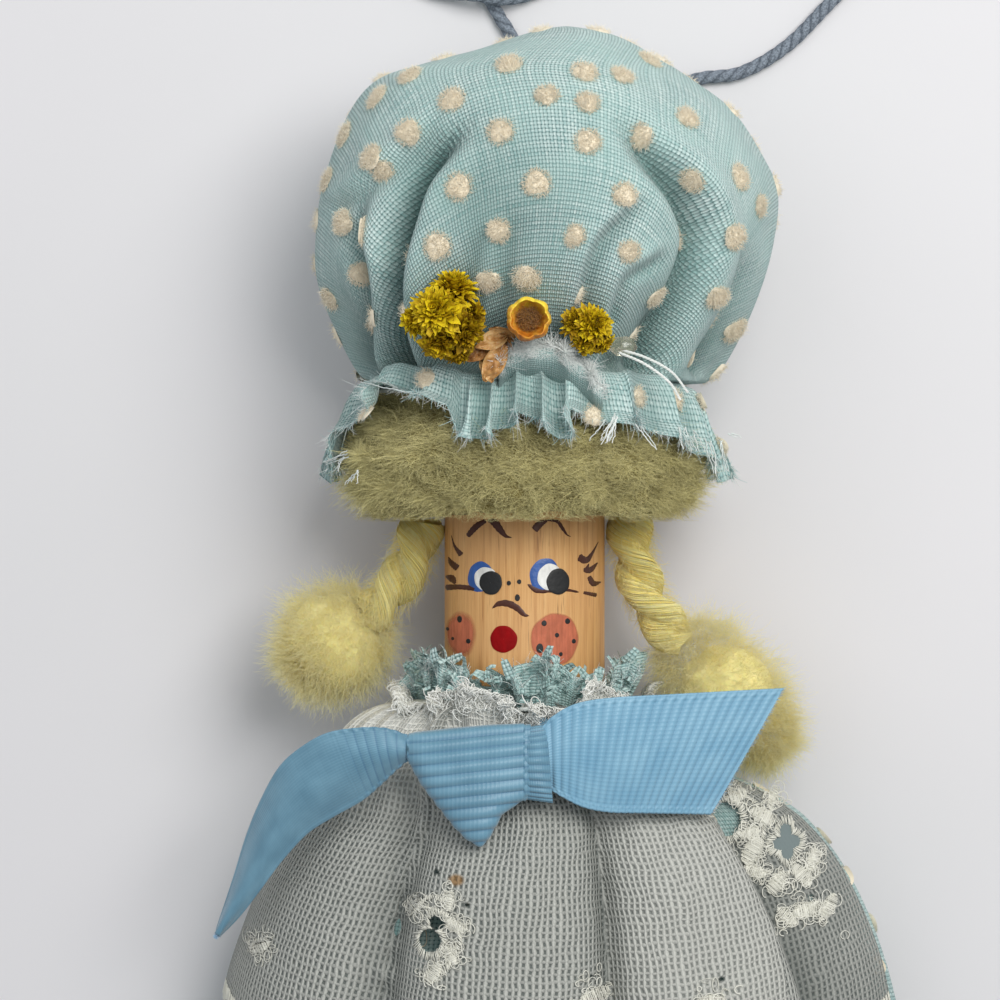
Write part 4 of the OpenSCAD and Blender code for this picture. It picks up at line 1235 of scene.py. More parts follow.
blue_paint = paint_material("blue_paint", srgb(44, 92, 168))
white_paint = paint_material("white_paint", srgb(240, 240, 236))
black_paint = paint_material("black_paint", srgb(20, 21, 22), roughness=0.55)
brown_paint = paint_material("brown_paint", srgb(80, 44, 32), specular=0.3)
red_paint = paint_material("red_paint", srgb(150, 0, 6), roughness=0.6, specular=0.15)
cheek_paint = paint_material("cheek_wash", srgb(208, 118, 88), roughness=0.6, wash=True, specular=0.25)


def paint_face():
    paint_spot("left_iris", (-3.57, 15.66), (1.01, 1.23), blue_paint, tilt=-0.2, seed=2)
    paint_spot("left_eye_white", (-3.12, 15.51), (0.92, 0.94), white_paint, level=1, seed=3)
    paint_spot("left_pupil", (-2.71, 15.20), (0.90, 0.94), black_paint, level=2, seed=4)
    paint_spot("right_iris", (1.53, 15.82), (1.14, 1.37), blue_paint, tilt=-0.25, seed=5)
    paint_spot("right_eye_white", (1.98, 15.65), (1.00, 1.06), white_paint, level=1, seed=6)
    paint_spot("right_pupil", (2.61, 15.29), (0.92, 1.04), black_paint, level=2, seed=7)
    paint_spot("mouth", (-1.70, 10.71), (1.07, 1.08), red_paint, level=1, seed=8)
    paint_spot("right_cheek", (2.38, 10.69), (1.97, 2.16), cheek_paint, seed=9, soft=0.10)
    paint_spot("left_cheek", (-5.14, 11.02), (1.30, 1.95), cheek_paint, seed=10, soft=0.35)
    nose = [(-1.29, 15.18, 0.17), (-0.47, 15.29, 0.17), (-0.61, 14.02, 0.2)]
    freckles = [
        (1.51, 11.98, 0.21), (3.38, 12.12, 0.21), (2.53, 11.02, 0.17), (3.88, 10.51, 0.17),
        (1.16, 9.99, 0.28), (2.84, 9.5, 0.15), (-5.22, 12.23, 0.2), (-5.78, 10.65, 0.12),
        (-4.52, 10.5, 0.18), (-6.2, 11.4, 0.13)]
    for index, (x, y, size) in enumerate(nose + freckles):
        label = "nose_dot" if index < len(nose) else "freckle"
        stretch = 1.35 if index in (2, 7, 9) else 1.1
        paint_spot(f"{label}_{index + 1}", (x, y), (size, size * stretch), black_paint, level=1,
                   seed=20 + index)
    strokes = {
        "moustache": [(-2.62, 13.16, 0.04), (-2.11, 13.52, 0.2), (-1.38, 13.55, 0.27), (-0.65, 13.2, 0.25),
                      (-0.09, 12.68, 0.17), (0.33, 12.57, 0.03)],
        "left_brow_outer": [(-4.6, 18.9, 0.2), (-3.91, 19.67, 0.25), (-3.12, 20.17, 0.16)],
        "left_brow_inner": [(-3.0, 20.2, 0.1), (-2.45, 20.0, 0.3), (-2.0, 19.45, 0.27),
                            (-1.55, 18.94, 0.14), (-1.05, 18.8, 0.02)],
        "right_brow_outer": [(0.72, 19.4, 0.3), (1.15, 19.86, 0.28), (1.76, 20.17, 0.1)],
        "right_brow_inner": [(1.7, 20.2, 0.06), (2.54, 20.1, 0.13), (2.94, 19.61, 0.14),
                             (3.33, 19.05, 0.07), (3.67, 18.86, 0.02)],
        "left_lash_high": [(-5.91, 18.94, 0.02), (-5.65, 18.1, 0.1), (-5.09, 17.37, 0.24)],
        "left_lash_middle": [(-6.16, 17.2, 0.04), (-5.93, 16.75, 0.22), (-5.39, 16.3, 0.28)],
        "left_lash_low": [(-6.38, 15.63, 0.1), (-5.87, 15.46, 0.3), (-5.59, 15.07, 0.1)],
        "left_lid_line": [(-6.4, 14.73, 0.24), (-5.26, 14.82, 0.2), (-4.0, 14.72, 0.2)],
        "right_lash_high": [(4.28, 17.25, 0.32), (4.9, 16.97, 0.26), (5.41, 17.53, 0.12),
                            (5.91, 18.43, 0.02)],
        "right_lash_middle": [(4.68, 16.2, 0.16), (5.24, 16.19, 0.24), (5.86, 16.75, 0.05)],
        "right_lash_short": [(5.13, 16.69, 0.04), (4.96, 16.25, 0.18)],
        "right_lash_low": [(5.13, 15.68, 0.18), (5.5, 15.1, 0.24), (6.15, 15.18, 0.05)],
        "right_lid_line": [(0.2, 15.08, 0.08), (0.92, 14.64, 0.24), (2.04, 14.6, 0.18), (3.27, 14.62, 0.12),
                           (4.28, 14.43, 0.08)],
        "right_lid_dash": [(4.68, 14.39, 0.12), (5.77, 14.14, 0.17)]}
    for name, knots in strokes.items():
        paint_stroke(name, knots, brown_paint)
    print("paint strokes", len(strokes))


paint_face()

# %% [markdown]
# ## Dotted dress
# Under the cape the doll wears a skirt of the cap's cloth. It is gathered round the neck on a
# thread, falls in soft folds over the pin, and its frayed upper edge makes a ruff under the chin.
# %% Dress
NECK_LOW_Y = 1.7
NECK_HIGH_Y = 5.1
SKIRT_LEN = 35
SKIRT_HALF_W = 30
SKIRT_TOP = 21.6
SKIRT_SIDE = 4.5
SKIRT_FOLD = 2.4
DRESS_R = 7.4
DRESS_FLAT_R = 22
DRESS_FOLDS = 13
RUFF_FLAT_R = 14
SKIRT_SHIFT = 2.2
SKIRT_LEFT_TUCK = 0.07
SKIRT_SEEN_SHARE = 0.6
GAP_ANGLE = 120.5
PRESS = 0.5


def skirt_surface(a, s, layer=0.0, floor_z=0.0, folds=DRESS_FOLDS, shift=90.0):
    """The dress at angle a (degrees) and share s from neck to hem, as the frame's solid has it."""
    a, s = np.broadcast_arrays(np.asarray(a, float), np.asarray(s, float))
    turn = np.radians(a)
    sine = np.sin(turn)
    wave = SKIRT_FOLD * ease(s * 2) * (np.cos(np.radians(folds * (a - shift))) - 1) / 2
    half = mix(DRESS_R, SKIRT_HALF_W, np.sin(np.radians(90 * np.sqrt(s)))) + layer
    edge = mix(PIN_AXIS_Z, SKIRT_SIDE, ease(s * 2.2))
    front = mix(PIN_AXIS_Z + DRESS_R, SKIRT_TOP, ease(s * 1.5))
    flat = ease(s * 6)
    up = (front + layer - edge + wave) * mix(np.abs(sine), np.abs(sine) ** 1.15, np.clip(s * 4, 0, 1))
    down = (mix(DRESS_R, edge + PRESS, flat) + layer) * np.abs(sine) ** (0.5 + 0.5 * (1 - flat))
    z = np.maximum(edge + np.where(sine > 0, up, -down), floor_z)
    in_sight = 1 - ease((s - SKIRT_SEEN_SHARE) / (1 - SKIRT_SEEN_SHARE))
    narrow = 1 - SKIRT_LEFT_TUCK * ease(s * 4) * (np.cos(turn) < 0) * in_sight
    x = (half + wave * 0.5) * np.cos(turn) * narrow + SKIRT_SHIFT * ease(s * 6) * in_sight
    y = NECK_LOW_Y - SKIRT_LEN * s
    return joined(x, y, z)


def dress_at(u, v):
    """The dress by its flat coordinates: u round it, v down from the neck."""
    a = u / DRESS_FLAT_R * 180 / math.pi
    s = np.clip(v / SKIRT_LEN, 0.005, 0.995)
    here = skirt_surface(a, s)
    right = skirt_surface(a + 0.4, s)
    down = skirt_surface(a, s + 0.004)
    return here, unit(np.cross(right - here, down - here)) * -1


def make_dress():
    rows = 120
    columns = 520
    s = np.linspace(0, 1, rows) ** 1.3
    a = np.linspace(-180, 180, columns + 1)
    points = skirt_surface(a[None], s[:, None])
    ripple_in = 0.16 * ripple(points[..., 0], points[..., 1], 71, 4.0)
    points[..., 2] = np.maximum(points[..., 2] + ripple_in, 0.05)
    uv = joined(np.radians(a)[None] * DRESS_FLAT_R, (s * SKIRT_LEN)[:, None])
    # Painted shade: the fold mark darkens the dress in its fold valleys, more towards the hem, and paints a
    # shadow in the gap between the cape's left and middle panels.
    valley = (1 - np.cos(np.radians(DRESS_FOLDS * (a - 90)))) / 2
    fold = 0.8 * valley[None] * (0.4 + 0.6 * s[:, None])
    fold = fold + 1.1 * np.exp(-((a[None] - GAP_ANGLE) / 4) ** 2)
    dress = make_mesh("dotted_skirt", points, grid_faces(rows, columns + 1), dotted_cloth, uv=uv,
                      marks={"fold": fold})
    low = np.array([-math.pi * DRESS_FLAT_R, 2.0])
    high = np.array([math.pi * DRESS_FLAT_R, SKIRT_LEN - 1.2])
    places = dot_places(low, high)
    make_dots("dress_dots", *dress_at(places[:, 0], places[:, 1]), 72, hairs=60)
    source = draws(73)
    pick = source.uniform(-180, 180, 1500)
    root, ahead, beside = edge_frame(skirt_surface, pick, 1.0, 0.015, 1)
    fray("dress_hem_fray", root, ahead, beside, source, 1.1, 0.026, aqua_fray)
    return dress


def ruff_surface(a, s):
    """The ruff under the chin at angle a (radians) and share s from neck to frayed edge."""
    a, s = np.broadcast_arrays(a, s)
    phase = a * 21 + 1.6 * np.sin(3 * a) + 1.1 * np.sin(7 * a + 1)
    crumple = ripple(a * 8, s * 3, 78, 1.2)
    wave = np.sin(phase) * (0.9 + 0.3 * np.sin(a * 4 + 2))
    cross = np.cos(phase)
    radius = DRESS_R + 0.25 + 1.1 * s + (0.85 * wave + 0.3 * np.sin(a * 47) + 0.35 * crumple) * s ** 0.7
    height = 3.3 + 0.9 * np.sin(a * 5 + 1) + 0.7 * np.sin(a * 13 + 2) + 0.6 * ripple(a * 8, 0.0, 79, 0.7)
    sway = a + 0.11 * s * cross
    y = NECK_LOW_Y + (NECK_HIGH_Y - NECK_LOW_Y) * np.minimum(s * 3, 1)
    y = y + height * np.maximum(s - 0.33, 0) * 1.4 + 0.35 * s * cross
    return joined(radius * np.cos(sway), y, PIN_AXIS_Z + radius * np.sin(sway))


def make_ruff_strips(source):
    """Narrow torn strips of the cloth that curl out of the ruff."""
    count = 300
    steps = 9
    a = source.uniform(0.1, 3.05, count)
    level = source.uniform(0.45, 0.98, count)
    root = ruff_surface(a, level)
    ahead = unit(ruff_surface(a, level) - ruff_surface(a, level - 0.05))
    beside = unit(ruff_surface(a + 0.02, level) - root)
    out = np.cross(beside, ahead)
    out = out * np.sign((out * (root - np.array([0, 0, PIN_AXIS_Z]))).sum(axis=1, keepdims=True))
    way = ahead + beside * source.normal(0, 0.6, (count, 1))
    way = unit(way + out * source.normal(0.1, 0.35, (count, 1)))
    flat = unit(np.cross(way, out) + 0.5 * out * source.normal(0, 1, (count, 1)))
    up = np.cross(flat, way)
    t = np.linspace(0, 1, steps)[None]
    length = source.uniform(0.5, 1.7, (count, 1))
    curl = source.normal(0, 1.5, (count, 1))
    along = np.sin(t * np.abs(curl) + 1e-6) / (np.abs(curl) + 1e-6) * length
    lift = (1 - np.cos(t * curl)) / (curl + 1e-6) * length
    centre = root[:, None] + way[:, None] * along[..., None] + up[:, None] * lift[..., None]
    half = source.uniform(0.16, 0.5, (count, 1)) * (1 - 0.35 * t ** 2)
    across = np.array([-1.0, 0.0, 1.0])
    points = centre[:, :, None] + flat[:, None, None] * (half[..., None] * across)[..., None]
    uv = joined(a[:, None, None] * RUFF_FLAT_R + half[..., None] * across, (along + 3)[..., None])
    make_mesh("ruff_torn_strips", points, many_grids(count, steps, 3), dotted_cloth, uv=uv,
              marks=even_marks(points, fold=0))


def make_ruff():
    rows = 30
    columns = 620
    s = np.linspace(0, 1, rows)
    a = np.linspace(-math.pi, math.pi, columns + 1)
    points = ruff_surface(a[None], s[:, None])
    uv = joined(a[None] * RUFF_FLAT_R, (s * 8)[:, None])
    # Painted shade: the fold mark darkens the ruff towards the neck.
    marks = {"fold": np.clip(0.8 - s, 0, 1)[:, None] * np.ones(columns + 1)}
    ruff = make_mesh("neck_ruff", points, grid_faces(rows, columns + 1)[:, ::-1], dotted_cloth, uv=uv,
                     marks=marks)
    source = draws(74)
    pick = source.uniform(-math.pi, math.pi, 4400)
    level = source.uniform(0.55, 1, len(pick)) ** 0.5
    root, ahead, beside = edge_frame(ruff_surface, pick, level, 0.05, 0.02)
    make_ruff_strips(source)
    half = len(pick) // 2
    fray("ruff_fray_aqua", root[:half], ahead[:half], beside[:half], source, 0.8, 0.03, aqua_fray,
         wild=0.8)
    fray("ruff_fray_white", root[half:], ahead[half:], beside[half:], source, 1.1, 0.032, white_fray,
         wild=0.9)
    return ruff


dress = make_dress()
ruff = make_ruff()

# %% [markdown]
# ## Eyelet cape
# The white cape is an open cotton grid like cheesecloth, so the turquoise dress shows through
# its holes. It falls in four panels: three round folds, and at the right a flat embroidered strip
# that comes out from under the last fold. Heights of the folds are read round the doll by angle.
# %% Cape surface
CAPE_FROM = 18
CAPE_TO = 174
CAPE_LEN = 29
CAPE_SIDE_LEN = 20
CAPE_LIFT = 0.6
GRID_STEP = 0.54
# Angles at which the panels of the cape meet, besides the gap
FOLD_ANGLE = 81.0
STRIP_ANGLE = 51.4
# Angle round the doll in degrees, and how far the cloth stands off the dress there
CAPE_FOLDS = [
    (12, 0.2), (22, 0.2), (34, 0.0), (44, -0.3), (50.2, -0.9), (51.8, 0.8), (53.6, 2.2), (58, 2.9),
    (66, 3.0), (73, 2.1), (78, 0.7), (81, -1.0), (83.6, 0.7), (88, 2.1), (97, 3.2), (106, 3.1), (112, 2.5),
    (116, 1.2), (118.8, -0.6), (120.5, -1.35), (122.6, -0.3), (129, 1.6), (138, 2.7), (148, 2.5),
    (158, 1.6), (168, 0.8), (176, 0.3)]
CAPE_PANELS = {"left": (CAPE_TO, GAP_ANGLE), "middle": (GAP_ANGLE, FOLD_ANGLE),
               "right": (FOLD_ANGLE, STRIP_ANGLE), "strip": (STRIP_ANGLE, CAPE_FROM)}
fold_knots = smooth_curve(CAPE_FOLDS, 600)


def cape_surface(a, w):
    """The cape at angle a (degrees) and share w from its neck edge to its hem."""
    a, w = np.broadcast_arrays(np.asarray(a, float), np.asarray(w, float))
    reach = mix(CAPE_SIDE_LEN, CAPE_LEN, np.sin(np.radians(a)) ** 2) / SKIRT_LEN
    base = skirt_surface(a, reach * w, layer=CAPE_LIFT, floor_z=CAPE_LIFT, folds=0)
    bent = a + 10 * (w - 0.35) * ease((75 - a) / 15)
    fold = np.interp(bent, fold_knots[:, 0], fold_knots[:, 1]) * ease(w * 2.4)
    gather = 0.35 * np.sin(np.radians(a * 31)) * np.exp(-(w / 0.22) ** 2)
    shown = ease((w - 0.36) * 9) * ease((0.66 - w) * 9)
    bridge = 1.15 - 0.6 * shown + 0.3 * ripple(w * 30, 0.0, 99, 1.2)
    bridge = np.exp(-((a - GAP_ANGLE) / 1.9) ** 2) * bridge
    rise = fold + gather + bridge + 0.22 * ripple(base[..., 0], base[..., 1], 75, 4.5) * ease(w * 3)
    turn = np.radians(a)
    base[..., 0] += rise * 0.45 * np.cos(turn)
    base[..., 2] = np.maximum(base[..., 2] + rise * np.sin(turn) ** 0.7, CAPE_LIFT)
    base[..., 1] += 4.0 * np.exp(-(reach * w / 0.085) ** 2) * ease((a - 45) / 30)
    return base, rise


def panel_grid(start, end, rows=230, columns=190):
    """Points, flat coordinates and fold heights of one panel."""
    w = np.linspace(0, 1, rows) ** 1.1
    a = np.linspace(start, end, columns)
    points, rise = cape_surface(a[None], w[:, None])
    middle = columns // 2
    step = np.linalg.norm(np.diff(points, axis=1), axis=2)
    across = np.concatenate([np.zeros((rows, 1)), np.cumsum(step, axis=1)], axis=1)
    across = across - across[:, middle:middle + 1]
    width = step.sum(axis=1, keepdims=True)
    across = across * (width[-1:] / width) ** 0.5
    uv = joined(across, length_along(points[:, middle])[:, None])
    return points, uv, rise


cape_grids = {name: panel_grid(*ends) for name, ends in CAPE_PANELS.items()}
print("cape panels", list(cape_grids))

# %% [markdown]
# ## Cape cloth and its eyelets
# Eyelets are round lobes cut through the cloth. The material leaves them open, and the grid
# between the threads lets the dress show. The threads are cream white and a little uneven.
# %% Cape cloth
# Panel of each eyelet, then its lobes: place across, place along, and the two half widths
EYELETS = {
    "teal_eyelet": ("middle", [(-6.9, -11.3, 0.72, 0.62), (-7.5, -12.8, 0.95, 1.0)]),
    "olive_eyelet": ("strip", [(16.1, -3.7, 1.25, 1.5)]),
    "clover_eyelet": ("strip",
                      [(21.0, -4.9, 0.6, 0.75), (21.6, -5.7, 0.75, 0.62), (20.4, -5.8, 0.65, 0.6),
                       (21.1, -6.5, 0.6, 0.7)])}
PINHOLES = [
    ("middle", -7.0, -7.5, 0.24), ("middle", -4.6, -9.9, 0.22), ("middle", -5.0, -13.9, 0.22),
    ("middle", 5.2, -15.6, 0.2), ("right", 15.4, -15.8, 0.24), ("strip", 18.9, -1.4, 0.2),
    ("strip", 17.6, -8.4, 0.35), ("strip", 23.1, -10.2, 0.28), ("strip", 20.6, -8.6, 0.25)]
# The stain's place and its two half widths
STAIN = (-5.45, -8.05, 0.75, 0.525)
# The threads that hang down the cape lie closer and paler than those round it
THREAD_LEVELS = (0.6, 0.44)


def gauze_material():
    material, tree, shader = new_material("white_eyelet_gauze", roughness=0.9, specular=0.15)
    axes = separate(tree, cloth_uv(tree))
    wobble = noise(tree, cloth_uv(tree), 0.45, 2)
    slub = noise(tree, cloth_uv(tree, (0.5, 4.0, 1)), 1.0, 2)
    lines = []
    for axis in (0, 1):
        shifted = calc(tree, "MULTIPLY_ADD", wobble, 0.7, axes[axis])
        wave = calc(tree, "SINE", calc(tree, "MULTIPLY", shifted, TURN / GRID_STEP))
        lines.append(calc(tree, "MULTIPLY_ADD", wave, 0.5, THREAD_LEVELS[axis]))
    cover = calc(tree, "MAXIMUM", lines[0], lines[1])
    open_level = calc(tree, "MULTIPLY_ADD", slub, 0.35, 0.24)
    thread = spread(tree, cover, calc(tree, "SUBTRACT", open_level, 0.1),
                    calc(tree, "ADD", open_level, 0.14))
    fibre = noise(tree, cloth_uv(tree, (6, 6, 1)), 1.0, 2)
    # Painted shade: the white cotton is painted a mid grey, for the dimmer light over the cape.
    cotton = ramp(tree, fibre, [(0.3, srgb(140, 142, 137)), (0.72, srgb(182, 183, 177))])
    patch = spread(tree, noise(tree, cloth_uv(tree), 0.16, 3), 0.35, 0.7, 0.0, 0.32)
    cotton = blend_colour(tree, patch, cotton, srgb(142, 145, 140))
    hanging = spread(tree, calc(tree, "SUBTRACT", lines[0], lines[1]), -0.1, 0.35, 0.0, 0.42)
    cotton = blend_colour(tree, hanging, cotton, srgb(216, 217, 209))
    # Painted shade: the holes between the threads are painted grey and left mostly opaque, for the shade
    # seen through them.
    colour = blend_colour(tree, thread, srgb(118, 123, 119), cotton)
    # Painted shade: the fold mark darkens the cape in the valleys between its panels.
    colour = blend_colour(tree, calc(tree, "MULTIPLY", mark(tree, "fold"), 0.8), colour, srgb(92, 98, 95))
    # Partly painted light: the pale mark whitens the stitched hem and the left cloth by the neck, and
    # lightens the whole right panel as painted light.
    colour = blend_colour(tree, mark(tree, "pale"), colour, srgb(246, 245, 236))
    colour = blend_colour(tree, mark(tree, "stain"), colour, srgb(150, 112, 62))
    # Painted shade: the clover eyelet is painted grey, for the shaded cloth seen through it.
    colour = blend_colour(tree, mark(tree, "painted_shade_backing"), colour, srgb(122, 134, 134))
    set_colour(tree, shader, colour)
    alpha = calc(tree, "MAXIMUM", calc(tree, "MULTIPLY_ADD", thread, 0.24, 0.76), mark(tree, "solid"))
    alpha = calc(tree, "MULTIPLY", alpha, calc(tree, "SUBTRACT", 1.0, mark(tree, "cut")))
    plug(tree, shader.inputs["Alpha"], alpha)
    bump(tree, shader, calc(tree, "MAXIMUM", cover, mark(tree, "solid")), 0.16, 1.0)
    return material


def lobe_share(x, y, lobes):
    """How far inside a group of lobes each place is: above 0 is inside."""
    best = np.full(np.shape(x), -9.0)
    for cx, cy, half_x, half_y in lobes:
        best = np.maximum(best, 1 - np.hypot((x - cx) / half_x, (y - cy) / half_y))
    return best


def make_cape():
    parts = []
    total = 0
    for name, (points, uv, rise) in cape_grids.items():
        rows, columns = rise.shape
        x = points[..., 0]
        y = points[..., 1]
        cut = np.zeros(rise.shape)
        painted_shade_backing = np.zeros(rise.shape)
        # Painted shade: the clover eyelet is painted grey and solid instead of cut; the other eyelets are
        # cut.
        for label, (panel, lobes) in EYELETS.items():
            inside = np.clip(lobe_share(x, y, lobes) * 9 + 0.5, 0, 1)
            if panel == name and label == "clover_eyelet":
                painted_shade_backing = np.maximum(painted_shade_backing, inside)
            elif panel == name:
                cut = np.maximum(cut, inside)
        for panel, cx, cy, radius in PINHOLES:
            if panel == name:
                hole = lobe_share(x, y, [(cx, cy, radius, radius)])
                cut = np.maximum(cut, np.clip(hole * 2 + 0.3, 0, 1))
        stain = np.clip(lobe_share(x, y, [STAIN]) * 2, 0, 0.8)
        w = np.linspace(0, 1, rows)[:, None]
        solid = np.clip((w - 0.972) * 60, 0, 0.9) + 0.75 * (1 - ease(w * 6)) + painted_shade_backing
        # Painted shade: fold is high where the cloth lies low between the panels.
        fold = np.clip((1.7 - rise) / 3.2, 0, 1) ** 1.5 * ease(w * 2.5)
        degrees = np.linspace(*CAPE_PANELS[name], columns)[None]
        # The hem and the left cloth by the neck are whiter; the share added on the right panel is painted
        # light.
        pale = (1 - ease(w * 3.2)) * ease((degrees - 112) / 14) * 0.85 + 0.5 * (w > 0.97)
        pale = pale + 0.16 * (name == "right")
        parts.append((points.reshape(-1, 3), uv.reshape(-1, 2), grid_faces(rows, columns)[:, ::-1] + total,
                      {"cut": cut, "stain": stain * (name == "middle"), "solid": solid, "fold": fold,
                       "painted_shade_backing": painted_shade_backing, "pale": np.broadcast_to(pale, rise.shape)}))
        total += rows * columns
    marks = {key: np.concatenate([part[3][key].ravel() for part in parts]) for key in parts[0][3]}
    points, uv, faces = (np.concatenate([part[index] for part in parts]) for index in range(3))
    return make_mesh("eyelet_cape_cloth", points, faces, gauze, uv=uv, marks=marks)


gauze = gauze_material()
cape = make_cape()

# %% [markdown]
# ## Embroidery
# Cream satin stitches ring the eyelets, fill small leaves on the strip and bind the scalloped
# hem. Each stitch is a thick thread that lies on the cloth.
# %% Embroidery
STEM_STEP = 0.13
STEM_REACH = 3.6
STEM_BOW = 0.5
HEM_STEP = 0.13
SCALLOP = 3.1
RUFFLE_LOW_Y = 1.9
RUFFLE_R = 9.35
RUFFLE_FLAT_R = 17
# Leaves on the strip and the middle panel: place, half length, half width and tilt in degrees
LEAVES = [
    ("strip", 18.2, -6.3, 1.25, 0.75, 60), ("strip", 19.1, -3.6, 1.1, 0.6, -30),
    ("strip", 17.0, -1.9, 0.9, 0.5, 20), ("strip", 18.4, -7.9, 1.0, 0.5, -20),
    ("strip", 20.2, -8.9, 1.1, 0.6, 50), ("strip", 22.3, -8.4, 1.1, 0.55, -50),
    ("strip", 23.3, -7.2, 0.9, 0.5, 70), ("strip", 22.6, -11.2, 1.1, 0.6, 10),
    ("strip", 24.6, -11.0, 1.1, 0.55, 60), ("strip", 21.0, -11.6, 1.0, 0.5, -40),
    ("strip", 18.0, -4.9, 0.9, 0.5, 10), ("strip", 20.0, -2.2, 0.8, 0.4, 60),
    ("middle", -6.0, -9.6, 0.8, 0.42, 80), ("middle", -8.6, -10.3, 0.7, 0.4, 50),
    ("middle", -5.4, -11.6, 0.8, 0.4, -20), ("middle", -5.9, -13.8, 0.8, 0.42, -60),
    ("middle", -7.2, -15.3, 1.0, 0.5, 60), ("middle", 5.4, -17.2, 1.3, 0.7, 20),
    ("right", 14.6, -17.6, 1.2, 0.6, 0), ("left", -21.4, -14.2, 1.0, 0.5, 30)]


def on_cape(panel, x, y, lift):
    """Points a little above the cape at places of the front view."""
    points = cape_grids[panel][0].reshape(-1, 3)
    near = [np.hypot(points[:, 0] - px, points[:, 1] - py).argmin() for px, py in zip(x.ravel(), y.ravel())]
    z = points[np.array(near), 2].reshape(x.shape)
    return joined(x, y, z + lift)


def stitches(panel, x0, y0, x1, y1, lift, source):
    """Bowed stitches between pairs of places on the cape."""
    t = np.linspace(0, 1, 6)[None]
    x = mix(x0[:, None], x1[:, None], t)
    y = mix(y0[:, None], y1[:, None], t)
    paths = on_cape(panel, x, y, lift)
    paths[..., 2] += 0.14 * np.sin(math.pi * t) - 0.1 * (1 - np.sin(math.pi * t))
    return paths + source.normal(0, 0.03, (len(x0), 1, 3))


def eyelet_rim(panel, lobes, source):
    """Satin stitches that stand round an eyelet's edge."""
    cx = np.mean([lobe[0] for lobe in lobes])
    cy = np.mean([lobe[1] for lobe in lobes])
    way = round_angles(92)
    reach = np.linspace(0.1, 3.2, 160)
    x = cx + reach[None] * np.cos(way)[:, None]
    y = cy + reach[None] * np.sin(way)[:, None]
    inside = lobe_share(x, y, lobes) > 0
    edge = np.array([reach[np.flatnonzero(line)[-1]] if line.any() else 0.4 for line in inside])
    out = edge + source.uniform(0.28, 0.62, len(way))
    return stitches(panel, cx + (edge - 0.1) * np.cos(way), cy + (edge - 0.1) * np.sin(way),
                    cx + out * np.cos(way + 0.05), cy + out * np.sin(way + 0.05), 0.1, source)


def leaf_fill(panel, cx, cy, half_long, half_wide, tilt, source):
    """Satin stitches across a small leaf."""
    turn = math.radians(tilt)
    s = np.linspace(-0.95, 0.95, int(half_long * 30))
    wide = half_wide * np.sqrt(1 - s ** 2)
    x = cx + s * half_long * math.cos(turn)
    y = cy + s * half_long * math.sin(turn)
    return stitches(panel, x - wide * math.sin(turn), y + wide * math.cos(turn),
                    x + wide * math.sin(turn), y - wide * math.cos(turn), 0.12, source)


def stem(first, second, source):
    """A row of slanted stitches from one leaf to the next."""
    start = np.array(first[1:3])
    end = np.array(second[1:3])
    count = int(np.linalg.norm(end - start) / STEM_STEP) + 2
    t = np.linspace(0, 1, count)[:, None]
    across = unit(np.array([start[1] - end[1], end[0] - start[0]]))
    bow = np.sin(math.pi * t) * STEM_BOW * source.choice([-1, 1])
    place = mix(start, end, t) + across * bow
    aside = across * source.uniform(0.12, 0.26, (count, 1))
    ahead = unit(end - start) * 0.12
    low = place - aside - ahead
    high = place + aside + ahead
    return stitches(first[0], low[:, 0], low[:, 1], high[:, 0], high[:, 1], 0.1, source)


def lace_tangle(leaf, count, source):
    """Small loose loops of thread over and round one leaf."""
    panel, cx, cy, half_long, _, _ = leaf
    turn = np.linspace(0, TURN, 10)[None] * source.uniform(0.6, 1.1, (count, 1))
    turn = turn + source.uniform(0, 6, (count, 1))
    wide = source.uniform(0.15, 0.55, (count, 1))
    high = source.uniform(0.15, 0.55, (count, 1))
    x = cx + source.normal(0, half_long * 0.62, (count, 1)) + wide * np.cos(turn)
    y = cy + source.normal(0, half_long * 0.62, (count, 1)) + high * np.sin(turn)
    paths = on_cape(panel, x, y, 0.1)
    paths[..., 2] += source.uniform(0.0, 0.14, (count, 1))
    return paths


def make_embroidery():
    source = draws(76)
    lace = np.concatenate([lace_tangle(leaf, 26, source) for leaf in LEAVES])
    make_fibres("cape_lace_loops", lace, source.uniform(0.03, 0.05, len(lace)), embroidery_cotton,
                sides=4, taper=0.9)
    stems = [stem(first, second, source) for first, second in zip(LEAVES, LEAVES[1:])
             if first[0] == second[0] and math.dist(first[1:3], second[1:3]) < STEM_REACH]
    rims = [eyelet_rim(panel, lobes, source) for panel, lobes in EYELETS.values()]
    leaves = [leaf_fill(*leaf, source) for leaf in LEAVES]
    hems = []
    for points, _, _ in cape_grids.values():
        edge = points[-1]
        inner = points[-9]
        reach = length_along(edge)
        place = np.arange(0, reach[-1], HEM_STEP)
        low = np.stack([np.interp(place, reach, column) for column in edge.T], axis=1)
        high = np.stack([np.interp(place, reach, column) for column in inner.T], axis=1)
        bow = 0.45 * np.abs(np.sin(place * math.pi / SCALLOP))[:, None]
        low = low + unit(low - high) * bow
        t = shares(6)
        paths = high[:, None] + (low - high)[:, None] * t + source.normal(0, 0.05, (len(place), 1, 3))
        paths[..., 2] += 0.16 * np.sin(math.pi * t[..., 0]) + 0.05
        hems.append(paths)
    everything = np.concatenate(rims + leaves + stems + hems)
    everything[..., 2] = np.maximum(everything[..., 2], 0.1)
    make_fibres("cape_embroidery", everything, source.uniform(0.035, 0.06, len(everything)),
                embroidery_cotton, sides=5, taper=0.9)
    print("stitches", len(everything))


